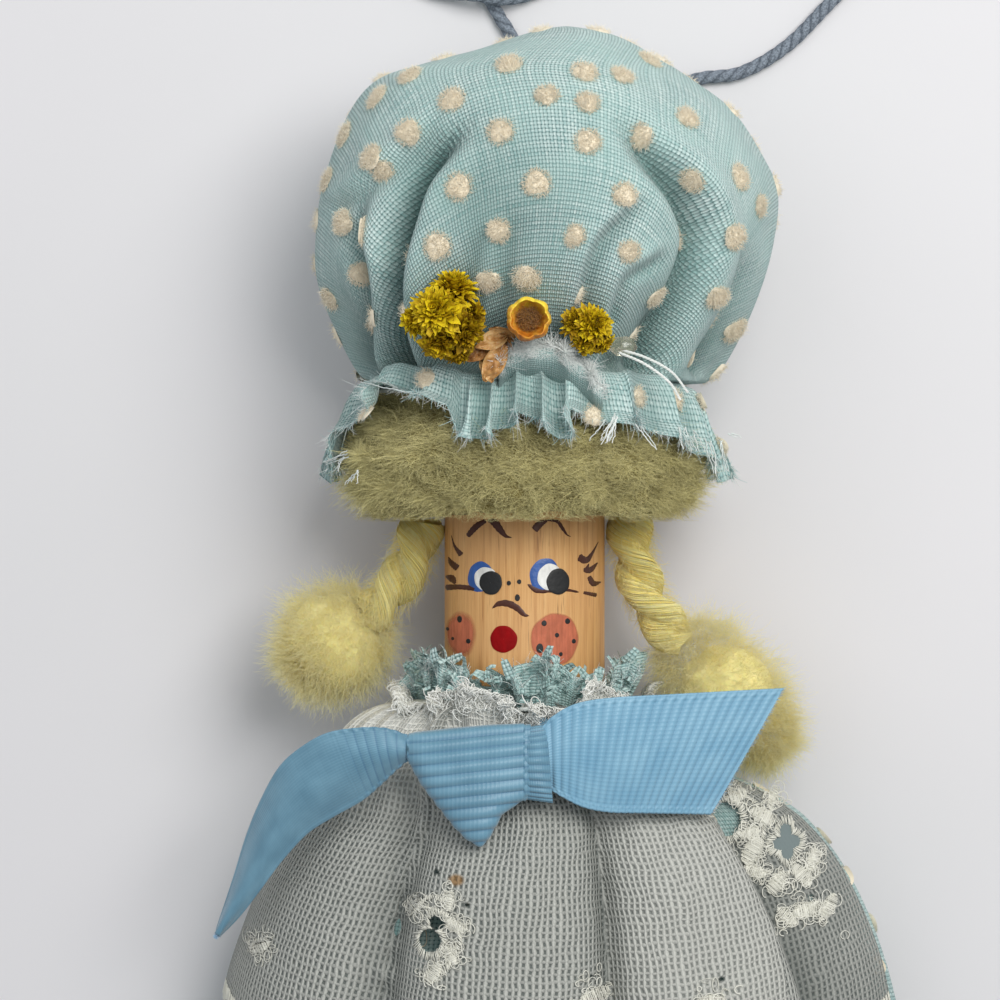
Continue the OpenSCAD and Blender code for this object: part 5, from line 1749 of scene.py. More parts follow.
def neck_ruffle_surface(a, s):
    """Gathered gauze round the neck at angle a (radians) and share s from the band to its edge."""
    a, s = np.broadcast_arrays(a, s)
    phase = a * 19 + 1.9 * np.sin(3 * a + 1) + 1.2 * np.sin(8 * a)
    wave = np.sin(phase) * (0.75 + 0.4 * np.sin(a * 5 + 1))
    crumple = ripple(a * 9, s * 4, 83, 1.0)
    height = 2.7 + 0.8 * np.sin(a * 6 + 2) + 0.6 * ripple(a * 9, 0.0, 84, 0.8)
    roll = np.sin(math.pi * 0.62 * s) / math.sin(math.pi * 0.62)
    radius = RUFFLE_R + 0.5 * s + (0.62 * wave + 0.28 * crumple) * s ** 0.6 + 0.9 * s ** 3
    y = RUFFLE_LOW_Y + 1.3 * np.minimum(s * 3, 1) + height * roll * s ** 0.7 + 0.3 * np.cos(phase) * s
    sway = a + 0.08 * s * np.cos(phase)
    return joined(radius * np.cos(sway), y, PIN_AXIS_Z + radius * np.sin(sway))


def make_neck_ruffle():
    rows = 34
    columns = 700
    s = np.linspace(0, 1, rows)
    a = np.linspace(-math.pi, math.pi, columns + 1)
    points = neck_ruffle_surface(a[None], s[:, None])
    uv = joined(a[None] * RUFFLE_FLAT_R, (s * 7)[:, None])
    solid = np.clip((s - 0.93) * 12, 0, 0.8)[:, None] * np.ones(columns + 1)
    # Painted shade: the fold mark darkens the ruffle towards the band.
    fold = np.clip(0.75 - s, 0, 1)[:, None] * np.ones(columns + 1)
    plain = np.zeros(solid.shape)
    marks = {"cut": plain, "stain": plain, "painted_shade_backing": plain, "solid": solid + 0.4, "fold": fold * 0.5,
             "pale": plain + 0.6}
    return make_mesh("cape_neck_ruffle", points, grid_faces(rows, columns + 1)[:, ::-1], gauze, uv=uv,
                     marks=marks)


def make_neck_fray():
    """The cape's torn neck edge: loops and ends of white thread."""
    source = draws(77)
    count = 2600
    a = source.uniform(0.6, 3.3, count)
    level = source.uniform(0.45, 1, count)
    _, ahead, beside = edge_frame(neck_ruffle_surface, a, level, 0.03, 0.02)
    tip = neck_ruffle_surface(a, level)
    lean = ahead * 0.7 + beside * source.normal(0, 0.9, (count, 1))
    lean = unit(lean + source.normal(0, 0.4, (count, 3)))
    stops = shares(9)
    length = source.uniform(0.25, 1.3, (count, 1, 1))
    turn = stops * source.uniform(1.5, 4.5, (count, 1, 1))
    lift = np.cross(lean, beside)
    paths = tip[:, None] + lean[:, None] * np.sin(turn) * length * 0.5
    paths = paths + lift[:, None] * (1 - np.cos(turn)) * length * 0.3
    paths = paths + beside[:, None] * stops * source.normal(0, 0.5, (count, 1, 1)) * length
    make_fibres("cape_neck_fray", paths, source.uniform(0.028, 0.055, count), cream_fray, sides=4,
                taper=0.7)


embroidery_cotton = fluff_material("embroidery_cotton", srgb(198, 197, 184), srgb(244, 243, 232))
cream_fray = fluff_material("cream_fray", srgb(232, 233, 226), srgb(255, 255, 250))
make_embroidery()
neck_ruffle = make_neck_ruffle()
make_neck_fray()

# %% [markdown]
# ## Grosgrain ribbon
# A sky blue ribbon is knotted round the neck. Its ribs run across it every 0.7 mm and are real
# relief. The left tail twists onto its edge, and the right one lies flat and is cut at a slant.
# %% Ribbon
RIB = 0.7
RIBBON_W = 9.4
KNOT_RIB = 0.92
KNOT_FROM_X = -9.7
KNOT_TO_X = 0.4
KNOT_Z = 22.25
SIDE_WRAP_R = 3.1


def ribbon_material(name, low, high, groove):
    """Grosgrain whose ribs fade where the mesh says that it is smooth."""
    material, tree, shader = new_material(name, 0.42, 0.45, {"Sheen Weight": 0.3, "Anisotropic": 0.4})
    axes = separate(tree, cloth_uv(tree))
    rib = calc(tree, "ABSOLUTE", calc(tree, "SINE", calc(tree, "MULTIPLY", axes[0], math.pi / RIB)))
    rib = calc(tree, "MAXIMUM", rib, mark(tree, "smooth"))
    fine = calc(tree, "SINE", calc(tree, "MULTIPLY", axes[1], TURN / 0.34))
    patch = noise(tree, cloth_uv(tree, (0.3, 0.3, 1)), 1.0, 2)
    base = ramp(tree, patch, [(0.3, low), (0.72, high)])
    # Painted shade: the grooves between the ribs are painted darker. Painted highlight: the crests of the
    # fine threads are painted a little paler.
    colour = blend_colour(tree, spread(tree, rib, 0.0, 0.5, groove, 0.0), base, srgb(62, 108, 142))
    colour = blend_colour(tree, spread(tree, fine, 0.2, 1.0, 0.0, 0.06), colour, srgb(196, 226, 242))
    set_colour(tree, shader, colour)
    lumps = calc(tree, "MULTIPLY_ADD", fine, 0.1, calc(tree, "MULTIPLY", rib, 0.9))
    bump(tree, shader, lumps, 0.07, 0.8)
    return material


grosgrain = ribbon_material("sky_grosgrain", srgb(112, 162, 190), srgb(134, 180, 204), 0.3)
# Painted shade: a darker copy of the same ribbon, with deeper painted grooves, for the knot and the left
# tail.
painted_shade_grosgrain = ribbon_material("painted_shade_grosgrain", srgb(91, 135, 158), srgb(113, 158, 180), 0.6)
blue_fray = fluff_material("blue_fray", srgb(96, 160, 208), srgb(206, 232, 248))


def ribbon_strip(name, body, material, upper, lower, arch, columns, smooth_from, cross=70,
                 thickness=0.35):
    """A ribbed strip between two edge curves, and its middle grid; arch lifts its middle."""
    top = smooth_curve(upper, columns)
    bottom = smooth_curve(lower, columns)
    centre = (top + bottom) / 2
    length = length_along(centre)
    v = np.linspace(0, 1, cross)
    points = top[:, None] * (1 - v[None, :, None]) + bottom[:, None] * v[None, :, None]
    points[..., 2] += arch * np.sin(math.pi * v)[None]
    ahead = np.gradient(points, axis=0)
    across = np.gradient(points, axis=1)
    normal = unit(np.cross(ahead, across))
    normal = normal * np.sign(normal[..., 2:3] + 1e-6)
    selvage = np.minimum(v, 1 - v) * cross
    shift = np.where(selvage < 4, RIB / 2, 0)
    rib = np.abs(np.sin(math.pi * (length[:, None] + shift[None]) / RIB))
    smooth = np.repeat(ease((length - smooth_from) / 3)[:, None], cross, axis=1)
    rib = mix(rib, 0.7, smooth)
    front = points + normal * (0.10 * rib + 0.04 * (selvage < 4) + thickness / 2)[..., None]
    back = points - normal * (thickness / 2 - 0.10 * (rib - 1))[..., None]
    width = np.linalg.norm(top - bottom, axis=1)
    uv = joined(length[:, None], v[None] * RIBBON_W)
    skin = np.concatenate([front, back[:, ::-1]], axis=1)
    uv = np.concatenate([uv, uv[:, ::-1]], axis=1)
    faces = grid_faces(columns, cross * 2, wrapped=True)
    marks = {"smooth": np.concatenate([smooth, smooth], axis=1) * 0.9}
    piece = make_mesh(name, skin, faces, material, body, uv=uv, marks=marks)
    print(name, "length", round(float(length[-1]), 1), "width", round(float(width.max()), 1))
    return piece, points


RIGHT_TAIL_TOP = [(1.3, 3.9, 22.3), (2.4, 5.0, 22.5), (4.2, 5.9, 22.5), (7.0, 6.3, 22.1), (11.3, 6.5, 21.2),
                  (15.8, 6.7, 20.2), (20.4, 6.9, 19.2)]
RIGHT_TAIL_LOW = [
    (1.6, -0.6, 22.0), (3.0, -1.5, 22.2), (4.6, -2.3, 22.1), (6.6, -2.7, 21.8), (9.2, -2.8, 21.3),
    (11.9, -2.9, 20.6), (14.6, -3.0, 19.9)]
LEFT_TAIL_TOP = [
    (-9.4, 3.2, 22.3), (-11.0, 3.8, 22.7), (-13.0, 3.9, 22.7), (-15.5, 3.5, 22.2), (-17.6, 2.3, 21.2),
    (-19.3, 0.7, 20.2), (-20.8, -2.0, 18.6), (-22.0, -4.9, 17.2), (-23.1, -8.4, 16.0), (-24.6, -12.9, 14.9)]
LEFT_TAIL_LOW = [
    (-9.4, 1.5, 22.0), (-10.3, 0.7, 21.9), (-11.6, -0.6, 21.5), (-13.0, -1.8, 21.0), (-15.2, -3.1, 20.2),
    (-17.3, -4.5, 19.3), (-19.4, -6.8, 18.2), (-21.2, -9.2, 17.0), (-22.9, -11.3, 15.8),
    (-24.7, -13.1, 14.7)]


def make_tails():
    right, right_grid = ribbon_strip("ribbon_right_tail_cloth", "right_ribbon_tail", grosgrain,
                                     RIGHT_TAIL_TOP, RIGHT_TAIL_LOW, 0.35, 240, smooth_from=90)
    left, left_grid = ribbon_strip("ribbon_left_tail_cloth", "left_ribbon_tail", painted_shade_grosgrain,
                                   LEFT_TAIL_TOP, LEFT_TAIL_LOW, 0.9, 340, smooth_from=3)
    source = draws(81)
    count = 420
    for name, body, grid in (("right_cut_fray", "right_ribbon_tail", right_grid),
                             ("left_cut_fray", "left_ribbon_tail", left_grid)):
        end = grid[-1]
        pick = source.uniform(0, len(end) - 1.01, count)
        low = pick.astype(int)
        root = end[low] + (end[low + 1] - end[low]) * (pick - low)[:, None]
        ahead = unit(grid[-1] - grid[-4])[low]
        lean = unit(ahead + source.normal(0, 0.35, (count, 3)))
        stops = shares(4)
        paths = root[:, None] + lean[:, None] * stops * source.uniform(0.1, 0.45, (count, 1, 1))
        make_fibres(name, paths, source.uniform(0.012, 0.024, count), blue_fray, body)
    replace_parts(right, "ribbon_right_tail")
    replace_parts(left, "ribbon_left_tail")


# Upper and lower edge of the knot's front wrap at places across the doll
KNOT_TOP = [(-9.7, 3.2), (-8.6, 3.5), (-6.0, 3.8), (-3.0, 4.05), (-1.0, 4.1), (0.4, 4.15)]
KNOT_LOW = [(-9.7, 2.6), (-9.1, 1.2), (-8.2, -0.4), (-6.7, -2.4), (-5.2, -4.2), (-3.9, -5.2), (-3.2, -5.1),
            (-2.4, -3.9), (-1.7, -2.7), (-0.6, -2.0), (0.4, -1.4)]


def make_knot():
    columns = 170
    around = 230
    x = np.linspace(KNOT_FROM_X, KNOT_TO_X, columns)
    top = np.interp(x, *zip(*KNOT_TOP))
    low_curve = smooth_curve(KNOT_LOW, 120)
    low = np.interp(x, low_curve[:, 0], low_curve[:, 1])
    share = (x - x[0]) / (x[-1] - x[0])
    puff = np.clip(np.sin(math.pi * (0.06 + 0.88 * share)), 0, 1) ** 0.35
    turn = round_angles(around)
    half = (top - low)[:, None] / 2
    square = np.sign(np.sin(turn)) * np.abs(np.sin(turn)) ** 0.62
    y = (top + low)[:, None] / 2 + half * np.cos(turn)[None]
    z = KNOT_Z + 1.55 * puff[:, None] * square[None] * np.minimum(1, half / 2) ** 0.5
    edge = np.minimum(x - x[0], x[-1] - x)[:, None]
    rib = np.abs(np.sin(math.pi * (y - 0.1 * x[:, None]) / KNOT_RIB + math.pi / 2 * (edge < 0.5)))
    swell = 0.14 * rib + 0.05 * (edge < 0.5)
    laid = (y - 0.1 * x[:, None]) * RIB / KNOT_RIB
    y = y + swell * np.cos(turn)[None]
    z = z + swell * np.sin(turn)[None]
    points = joined(x[:, None], y, z)
    uv = joined(laid, x[:, None])
    ends = points[[0, -1]].mean(axis=1, keepdims=True).repeat(around, axis=1)
    skin = np.concatenate([ends[:1], points, ends[1:]])
    uv = np.concatenate([uv[:1], uv, uv[-1:]])
    knot = make_mesh("ribbon_knot_front_wrap", skin, grid_faces(columns + 2, around, True),
                     painted_shade_grosgrain, uv=uv, marks=even_marks(skin, smooth=0))
    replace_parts(knot, "ribbon_knot")


def make_side_wrap():
    """The wrap behind the knot's right side, whose ribs run the other way."""
    columns = 60
    around = 180
    v = np.linspace(0, 1, columns)
    turn = round_angles(around)
    middle_y = 1.1
    half = mix(2.7, 3.0, v)[:, None]
    x = mix(-0.3, 1.9, v)[:, None] - 0.25 * np.cos(turn)[None]
    square = np.sign(np.sin(turn)) * np.abs(np.sin(turn)) ** 0.6
    puff = np.sin(math.pi * (0.12 + 0.76 * v))[:, None] ** 0.5
    rib = np.abs(np.sin(math.pi * turn * SIDE_WRAP_R / RIB))[None]
    y = middle_y + half * np.cos(turn)[None] + 0.1 * rib * np.cos(turn)[None]
    z = 22.0 + 1.45 * puff * square[None] + 0.1 * rib * np.sin(turn)[None]
    uv = joined(turn[None] * SIDE_WRAP_R, v[:, None] * 4)
    points = joined(x, y, z)
    make_mesh("ribbon_knot_side_wrap", points, grid_faces(columns, around, True), painted_shade_grosgrain, uv=uv,
              marks=even_marks(points, smooth=0))


make_tails()
make_knot()
make_side_wrap()

# %% [markdown]
# ## Dried flowers
# Two dried yellow flowers are glued below the crown. Each is a few tight rosettes of narrow
# toothed bracts round a brown core. The bracts spread in the golden angle, inner ones steeper.
# %% Dried flowers
GOLDEN_ANGLE = math.radians(137.5)
BRACT_STEPS = 7
BRACT_POINTS = 3 * BRACT_STEPS


def bract_material():
    """Dried bracts: brown at the root, ochre along the blade and clear yellow at the tip."""
    material, tree, shader = new_material("dried_bract", 0.6, 0.3, {
        "Subsurface Weight": 0.12, "Subsurface Radius": (0.0008, 0.0005, 0.0001)})
    tone = calc(tree, "MULTIPLY_ADD", mark(tree, "along"), 0.55,
                calc(tree, "MULTIPLY", mark(tree, "shade"), 0.5))
    fleck = noise(tree, position_mm(tree), 3.0, 2)
    tone = calc(tree, "ADD", tone, spread(tree, fleck, 0.3, 0.7, -0.12, 0.12))
    stops = [
        (0.0, srgb(62, 40, 6)), (0.32, srgb(108, 75, 4)), (0.62, srgb(174, 138, 6)),
        (0.96, srgb(238, 212, 26))]
    set_colour(tree, shader, ramp(tree, tone, stops))
    bump(tree, shader, noise(tree, position_mm(tree), 9.0, 2), 0.05)
    return material


def frame_round(axis):
    """An axis of length one and two directions square to it."""
    axis = unit(np.asarray(axis, float))
    first = unit(np.cross([0.0, 1.0, 0.1], axis))
    return axis, first, np.cross(axis, first)


def rosette(hub, axis, count, reach, width, source, shade):
    """Grids of bracts round an axis, of shape (count, steps, 3, 3), and a shade for each."""
    axis, first, second = frame_round(axis)
    share = (np.arange(count) + 0.5) / count
    way = np.arange(count) * GOLDEN_ANGLE + source.normal(0, 0.12, count)
    out = first * np.cos(way)[:, None] + second * np.sin(way)[:, None]
    beside = np.cross(axis, out)
    opening = np.radians(mix(104, 14, share ** 0.75) + source.normal(0, 7, count))
    length = reach * mix(1.0, 0.62, share) * source.uniform(0.78, 1.12, count)
    t = np.linspace(0, 1, BRACT_STEPS)
    tilt = opening[:, None] * (0.72 + 0.34 * t[None])
    heading = axis * np.cos(tilt)[..., None] + out[:, None] * np.sin(tilt)[..., None]
    step = (length / (BRACT_STEPS - 1))[:, None, None]
    middle = hub + axis * (share * reach * 0.34)[:, None, None] + np.cumsum(heading, axis=1) * step
    middle = middle - heading[:, :1] * step
    profile = width * (0.4 + 0.6 * np.sin(math.pi * np.clip(t * 0.7 + 0.12, 0, 1))) * (1 - t ** 8 * 0.55)
    notch = 1 + 0.45 * source.normal(0, 1, (count, BRACT_STEPS)) * (t[None] > 0.5)
    half = profile[None] * notch * source.uniform(0.75, 1.25, (count, 1))
    across = np.array([-1.0, 0.0, 1.0])
    blade = middle[:, :, None] + beside[:, None, None] * (half[..., None] * across)[..., None]
    up = np.cross(beside[:, None], heading)
    cup = half[..., None] * np.abs(across) * 0.55
    blade = blade - up[:, :, None] * cup[..., None]
    blade[:, -1, 1] += heading[:, -1] * (length * 0.09)[:, None]
    blade = blade + source.normal(0, 0.05, blade.shape)
    tone = np.clip(shade + source.normal(0, 0.16, count), 0, 1)
    return blade, tone


def make_flower(name, node, rosettes, heart, seed):
    """One dried flower: (hub, axis, count, reach, width, shade) rows and a (centre, radii) heart."""
    source = draws(seed)
    points = []
    faces = []
    shades = []
    along = []
    total = 0
    for hub, axis, count, reach, width, shade in rosettes:
        blade, tone = rosette(np.array(hub, float), axis, count, reach, width, source, shade)
        points.append(blade.reshape(-1, 3))
        faces.append(many_grids(count, BRACT_STEPS, 3) + total)
        shades.append(np.repeat(tone, BRACT_POINTS))
        along.append(np.tile(np.repeat(np.linspace(0.1, 1, BRACT_STEPS), 3), count))
        total += count * BRACT_POINTS
    centre, radii = heart
    ball, ball_faces = lumpy_ball(centre, radii, 26, 40, seed, 0.1)
    points.append(ball)
    faces.append(ball_faces + total)
    shades.append(np.full(len(ball), 0.05))
    along.append(np.full(len(ball), 0.05))
    marks = {"shade": np.concatenate(shades), "along": np.concatenate(along)}
    flower = make_mesh(name, np.concatenate(points), np.concatenate(faces), bract, marks=marks)
    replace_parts(flower, node)
    hub, axis, _, reach, _, _ = rosettes[0]
    axis, first, second = frame_round(axis)
    count = 120
    way = source.uniform(0, TURN, count)
    out = first * np.cos(way)[:, None] + second * np.sin(way)[:, None]
    root = np.array(hub) + axis * reach * 0.55 + out * source.uniform(0, 0.2, (count, 1)) * reach
    stops = shares(4)
    paths = root[:, None] + (axis + out * 0.35)[:, None] * stops * source.uniform(0.3, 0.75, (count, 1, 1))
    make_fibres(name + "_core", paths, source.uniform(0.02, 0.04, count), flower_core)


bract = bract_material()
flower_core = fluff_material("flower_core", srgb(92, 58, 8), srgb(178, 126, 14), sheen=0.1)
# Each row's last number is its shade. In the large flower the rosettes that face down are given low shades,
# as painted shade under the flower.
LARGE_ROSETTES = [
    ((-6.7, 36.2, 28.0), (-0.22, 0.22, 0.95), 250, 2.25, 0.3, 0.62),
    ((-5.7, 37.4, 27.4), (0.15, 0.85, 0.5), 150, 2.2, 0.28, 0.6),
    ((-8.0, 35.7, 27.2), (-0.85, 0.1, 0.5), 120, 1.65, 0.26, 0.7),
    ((-5.1, 35.0, 27.4), (0.5, -0.35, 0.8), 200, 2.0, 0.28, 0.15),
    ((-6.6, 34.4, 27.2), (-0.1, -0.6, 0.8), 160, 1.8, 0.27, 0.28),
    ((-5.4, 33.8, 26.7), (0.25, -0.9, 0.4), 110, 1.5, 0.2, 0.2),
    ((-4.6, 36.0, 27.2), (0.85, 0.2, 0.5), 110, 1.5, 0.2, 0.3)]
SMALL_ROSETTES = [
    ((5.0, 35.3, 27.2), (0.5, 0.05, 0.86), 280, 1.7, 0.22, 0.5),
    ((4.0, 35.4, 26.8), (-0.3, 0.35, 0.88), 140, 1.45, 0.2, 0.25),
    ((4.7, 34.4, 26.8), (0.0, -0.6, 0.8), 140, 1.45, 0.2, 0.3),
    ((5.7, 34.3, 26.6), (0.6, -0.7, 0.4), 100, 1.15, 0.2, 0.4)]
make_flower("dried_flower_large", "large_flower", LARGE_ROSETTES, ((-6.3, 35.7, 26.5), (2.0, 2.3, 2.0)), 91)
make_flower("dried_flower_small", "small_flower", SMALL_ROSETTES, ((5.1, 34.7, 26.1), (1.4, 1.6, 1.5)), 92)

# %% [markdown]
# ## Bud, scales and glue
# The bud is an open papery cup of seven overlapping bracts, with a brown fuzzy bottom. Beside it
# lie curled papery scales, and a clear bead of glue has set on the cloth.
# %% Bud, scales and glue
BUD_PLACE = (0.22, 35.75, 26.6)
BUD_R = 1.62
SCALE_ROWS = 24
SCALE_COLUMNS = 15


def papery_material(name, stops):
    """Thin brittle paper, from dark tan through orange to pale yellow."""
    material, tree, shader = new_material(name, 0.42, 0.4, {
        "Subsurface Weight": 0.15, "Subsurface Radius": (0.0008, 0.0005, 0.0002)})
    vein = noise(tree, position_mm(tree, (2.0, 2.0, 2.0)), 1.0, 3)
    tone = calc(tree, "ADD", mark(tree, "shade"), spread(tree, vein, 0.3, 0.7, -0.2, 0.2))
    set_colour(tree, shader, ramp(tree, tone, stops))
    bump(tree, shader, vein, 0.12)
    return material


def make_bud():
    source = draws(93)
    rows = 22
    columns = 120
    height = np.linspace(0, 1, rows)[:, None]
    turn = round_angles(columns)[None]
    facet = np.abs(np.cos(turn * 3.5 + 0.4 * np.sin(turn * 2)))
    shape = 0.62 + 0.42 * np.sin(math.pi * height * 0.62) - 0.16 * height ** 5
    radius = BUD_R * shape * (1 + 0.11 * facet * height) + 0.07 * ripple(turn * 3, height * 5, 94)
    rim = 2.3 + 0.34 * facet - 0.5 * np.sin(turn + 0.3) + 0.16 * ripple(turn * 4, 0.0, 100, 1.0)
    x = BUD_PLACE[0] + radius * np.cos(turn)
    y = BUD_PLACE[1] + radius * np.sin(turn)
    z = BUD_PLACE[2] + rim * height
    inner = mix(0.45, 0.95, height ** 0.7)
    upper = np.sin(turn + 0.25) * 0.5 + 0.5
    shade = np.clip(0.3 + 0.75 * upper * height ** 0.5, 0, 1)
    outer = joined(x, y, z)
    middle = np.array(BUD_PLACE)
    lining = (outer - middle) * joined(inner, inner, np.ones_like(inner)) + middle
    skin = np.concatenate([outer, lining[::-1]])
    lining_shade = shade[::-1] * 0.85 + 0.12 + 0.1 * ripple(turn * 5, height[::-1] * 4, 101)
    tone = np.concatenate([shade, np.clip(lining_shade, 0, 1)])
    cup = make_mesh("papery_bud_cup", skin, grid_faces(2 * rows, columns, True), bud_paper,
                    marks={"shade": tone})
    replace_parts(cup, "papery_bud")
    count = 1400
    reach = BUD_R * 0.5 * np.sqrt(source.random(count))
    way = source.uniform(0, TURN, count)
    root = middle + np.stack([reach * np.cos(way), reach * np.sin(way), np.full(count, 0.75)], axis=1)
    lean = unit(np.array([0, 0, 1.0]) + source.normal(0, 0.4, (count, 3)))
    stops = shares(4)
    paths = root[:, None] + lean[:, None] * stops * source.uniform(0.3, 0.9, (count, 1, 1))
    make_fibres("papery_bud_fuzz", paths, source.uniform(0.02, 0.045, count), bud_fuzz)
    floor_at = middle + np.array([0, 0, 0.5])
    ball, ball_faces = lumpy_ball(floor_at, (BUD_R * 0.55, BUD_R * 0.55, 0.4), 20, 40, 94, 0.08)
    make_mesh("papery_bud_bottom", ball, ball_faces, bud_fuzz,
              marks=even_marks(ball, shade=0.3, along=0.2))


def papery_scale(base, tip, width, bend, shade, seed):
    """A curled pointed leaf between two points, as a grid of points and a shade for each."""
    source = draws(seed)
    base = np.array(base, float)
    tip = np.array(tip, float)
    ahead = unit(tip - base)
    beside = unit(np.cross(ahead, [0.1, 0.1, 1.0]))
    up = np.cross(beside, ahead)
    t = np.linspace(0, 1, SCALE_ROWS)[:, None]
    c = np.linspace(-1, 1, SCALE_COLUMNS)[None]
    half = width * np.sin(math.pi * np.clip(t * 0.9 + 0.08, 0, 1)) ** 0.7
    crease = 0.3 * ripple(t * 7, c * 4, seed) * width
    lift = bend * np.sin(math.pi * t) + 0.5 * width * (c ** 2) * (1 - 0.5 * t) + crease
    points = base + (tip - base) * t[..., None] + beside * (half * c)[..., None] + up * lift[..., None]
    tone = np.clip(shade + 0.25 * (np.abs(c) ** 2) + source.normal(0, 0.05, (SCALE_ROWS, SCALE_COLUMNS)), 0,
                   1)
    return points, tone


def make_scales():
    leaves = [
        ((-1.6, 34.6, 25.4), (-3.9, 33.6, 26.3), 0.75, 0.35, 0.5),
        ((-2.6, 33.9, 25.6), (-4.6, 32.6, 25.6), 0.6, 0.3, 0.1),
        ((-1.7, 33.9, 25.9), (-3.2, 31.0, 25.6), 0.85, 0.4, 0.3),
        ((-2.4, 34.6, 24.9), (-1.0, 32.6, 25.3), 0.6, 0.3, 0.05),
        ((-3.4, 32.8, 25.2), (-2.6, 30.9, 25.6), 0.55, 0.25, 0.55),
        ((-0.9, 34.3, 25.0), (-2.9, 35.1, 25.7), 0.5, 0.2, 0.2)]
    grids = [papery_scale(*leaf, seed=95 + index) for index, leaf in enumerate(leaves)]
    points = np.concatenate([grid.reshape(-1, 3) for grid, _ in grids])
    tone = np.concatenate([shade.ravel() for _, shade in grids])
    faces = many_grids(len(grids), SCALE_ROWS, SCALE_COLUMNS)
    scales = make_mesh("dried_papery_scales", points, faces, papery, marks={"shade": tone})
    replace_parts(scales, "dried_sepals")


def make_glue():
    material, _, _ = new_material("clear_glue", 0.15, 0.5, {"Base Color": srgb(244, 238, 216),
                                                            "Transmission Weight": 0.9})
    points, faces = lumpy_ball((7.6, 33.8, 23.6), (1.1, 0.8, 0.6), 20, 30, 96, 0.06)
    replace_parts(make_mesh("dried_glue_bead", points, faces, material), "glue_dab")


papery = papery_material("papery_scale", [(0.0, srgb(130, 82, 38)), (0.4, srgb(196, 146, 86)),
                                          (0.7, srgb(216, 178, 122)), (1.0, srgb(238, 208, 150))])
bud_paper = papery_material("bud_paper", [(0.0, srgb(120, 64, 20)), (0.35, srgb(204, 124, 34)),
                                          (0.65, srgb(228, 172, 66)), (1.0, srgb(250, 222, 70))])
bud_fuzz = fluff_material("bud_fuzz", srgb(132, 88, 24), srgb(222, 170, 84), sheen=0.2)
make_bud()
make_scales()
make_glue()

# %% [markdown]
# ## Threads, band and hair root
# White threads gather the cap and the neck, and two ends hang loose over the frill. The ribbon
# goes once round the neck, and a roving under the fringe joins the two plaits.
# %% Threads, band and hair root
def laid_strands(route, plies, reach, turn_mm):
    """Strands twisted round a route, as paths of shape (plies, steps, 3)."""
    route = np.asarray(route, float)
    ahead = unit(np.gradient(route, axis=0))
    side = unit(np.cross(ahead, [0.05, 0.05, 1.0]))
    lift = np.cross(side, ahead)
    along = length_along(route)
    phase = along[None] / turn_mm * TURN + np.arange(plies)[:, None] * TURN / plies
    swing = side[None] * np.cos(phase)[..., None] + lift[None] * np.sin(phase)[..., None]
    return route[None] + swing * reach


def ring_route(node, inset, steps):
    """An oval in the middle of a ring-shaped node, in the plane across the doll."""
    low, high = (np.array(corner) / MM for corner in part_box(node))
    centre = (low + high) / 2
    half = (high - low) / 2 - inset
    turn = np.linspace(0, TURN, steps)
    return np.stack([centre[0] + half[0] * np.cos(turn), np.full(steps, centre[1]),
                     centre[2] + half[2] * np.sin(turn)], axis=1)


def make_threads():
    for name, node, steps in (("cap_gather_thread", "cap_thread", 700),
                              ("neck_gather_thread", "neck_thread", 500)):
        plies = laid_strands(ring_route(node, 0.2, steps), 3, 0.09, 1.1)
        ring = make_fibres(name, plies, np.full(3, 0.1), thread_cotton, sides=7, taper=1)
        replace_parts(ring, node)
    ends = [[(7.2, 33.6, 24.0), (9.4, 32.9, 24.2), (11.4, 31.8, 23.8), (12.7, 30.2, 23.4)],
            [(7.3, 33.3, 24.0), (9.3, 32.4, 24.3), (11.2, 31.0, 24.0), (12.1, 29.6, 23.8)]]
    strands = [laid_strands(smooth_curve(knots, 90), 3, 0.06, 0.9) for knots in ends]
    make_fibres("gather_thread_ends", np.concatenate(strands), np.full(6, 0.062), thread_cotton, sides=7,
                taper=0.7)


def make_band():
    """The ribbon round the neck, between the neck's thread and the cape."""
    low, high = (np.array(corner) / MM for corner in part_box("ribbon_band"))
    centre = (low + high) / 2
    outer = (high[0] - low[0]) / 2
    columns = 1100
    rows = 14
    turn = round_angles(columns)[None]
    v = np.linspace(0, 1, rows)[:, None]
    rib = np.abs(np.sin(turn * outer * math.pi / RIB))
    front = outer - 0.1 + 0.06 * rib + 0.12 * np.sin(math.pi * v)
    back = np.full(front.shape, outer - 0.42)
    radius = np.concatenate([front, back])
    y = np.concatenate([v, v[::-1]]) * (high[1] - low[1]) + low[1]
    x = centre[0] + radius * np.cos(turn)
    z = centre[2] + radius * np.sin(turn)
    points = joined(x, y, z)
    band = make_mesh("ribbon_neck_band", points, grid_faces(2 * rows, columns, True), grosgrain,
                     uv=joined(turn * outer, y), marks=even_marks(points, smooth=0))
    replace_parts(band, "ribbon_band")


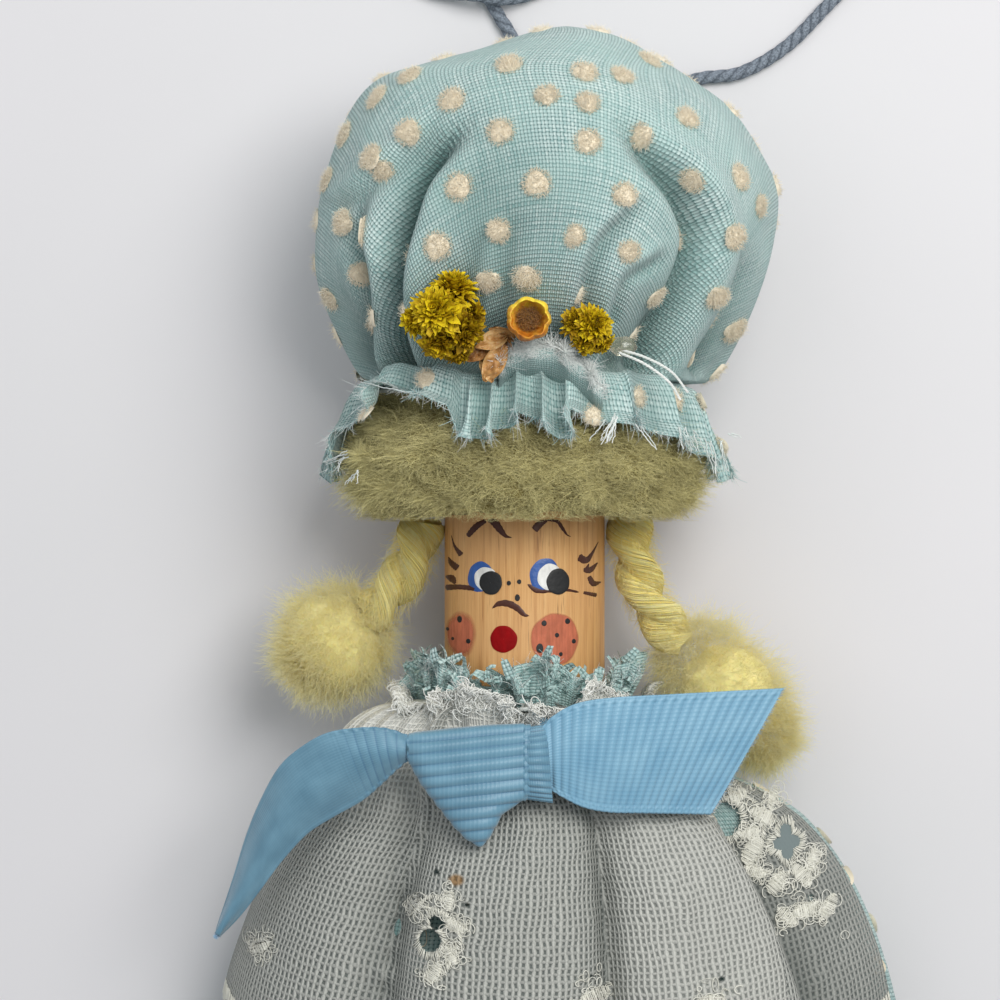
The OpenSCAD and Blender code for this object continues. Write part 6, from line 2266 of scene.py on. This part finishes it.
def make_roving():
    """Pale wool over the head from one plait to the other."""
    low, high = (np.array(corner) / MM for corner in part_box("hair_roving"))
    source = draws(97)
    thick = (high[1] - low[1]) / 2
    reach = high[0] - thick
    turn = np.linspace(0, math.pi, 110)
    route = np.stack([reach * np.cos(turn), np.full(110, (low[1] + high[1]) / 2),
                      low[2] + reach * np.sin(turn)], axis=1)
    count = 420
    ahead = unit(np.gradient(route, axis=0))
    lift = np.array([0, 1.0, 0])
    side = np.cross(ahead, lift)
    way = source.uniform(0, TURN, count)[:, None] + np.linspace(0, 9, 110)[None]
    out = thick * np.sqrt(source.uniform(0.3, 0.95, (count, 1)))
    offset = side[None] * (out * np.cos(way))[..., None] + lift * (out * np.sin(way))[..., None]
    roving = make_fibres("hair_roving_wool", route[None] + offset, source.uniform(0.05, 0.1, count),
                         pale_wool, taper=0.9)
    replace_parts(roving, "hair_roving")


def make_stuffing():
    """White fibre filling that holds the crown out."""
    turn = np.linspace(0, TURN, 120)
    share = np.linspace(0.02, 1, 70)
    points, _ = crown_surface(turn[None], share[:, None])
    middle = np.array([2.0, 45.6, 14.5])
    lumps = 0.84 + 0.02 * ripple(points[..., 0], points[..., 1], 98, 3.0)
    points = middle + (points - middle) * lumps[..., None]
    material, tree, shader = new_material("fibre_filling", 0.95, 0.1,
                                          {"Base Color": srgb(236, 234, 228)})
    bump(tree, shader, noise(tree, position_mm(tree), 1.6, 4), 0.4)
    stuffing = make_mesh("cap_fibre_filling", points, grid_faces(len(share), len(turn)), material)
    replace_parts(stuffing, "cap_stuffing")


thread_cotton = fluff_material("thread_cotton", srgb(214, 220, 216), srgb(250, 250, 246), sheen=0.3)
make_threads()
make_band()
make_roving()
make_stuffing()

# %% [markdown]
# ## Cloth sizes
# The area of each cloth is printed against the flat size it was cut to. The frill and the
# ruff are the outer parts of the cap's and the dress's own cloth, so they go with those sheets.
# %% Sheets
CROWN_CUT_R = 37.5
CAPE_CUT_W = 84


def cloth_area(piece):
    """Area of a mesh in square millimetres."""
    areas = np.empty(len(piece.data.polygons), np.float32)
    piece.data.polygons.foreach_get("area", areas)
    return float(areas.sum()) / MM ** 2


def declare(piece, width, length, area=None):
    """Prints how the area of a sheet compares with its flat size in millimetres."""
    flat = area or width * length
    print(piece.name, "area", round(cloth_area(piece)), "of flat", round(flat),
          round(cloth_area(piece) / flat, 2))


declare(crown, 2 * CROWN_CUT_R, 2 * CROWN_CUT_R,
        area=math.pi * CROWN_CUT_R ** 2)
declare(dress, TURN * DRESS_FLAT_R, SKIRT_LEN)
declare(cape, CAPE_CUT_W, CAPE_LEN)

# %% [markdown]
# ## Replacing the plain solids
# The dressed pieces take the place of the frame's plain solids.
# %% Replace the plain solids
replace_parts(crown, "mob_cap")
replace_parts(fringe_pile, "wool_fringe")
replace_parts(dress, "dotted_dress")
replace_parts(cape, "eyelet_cape")
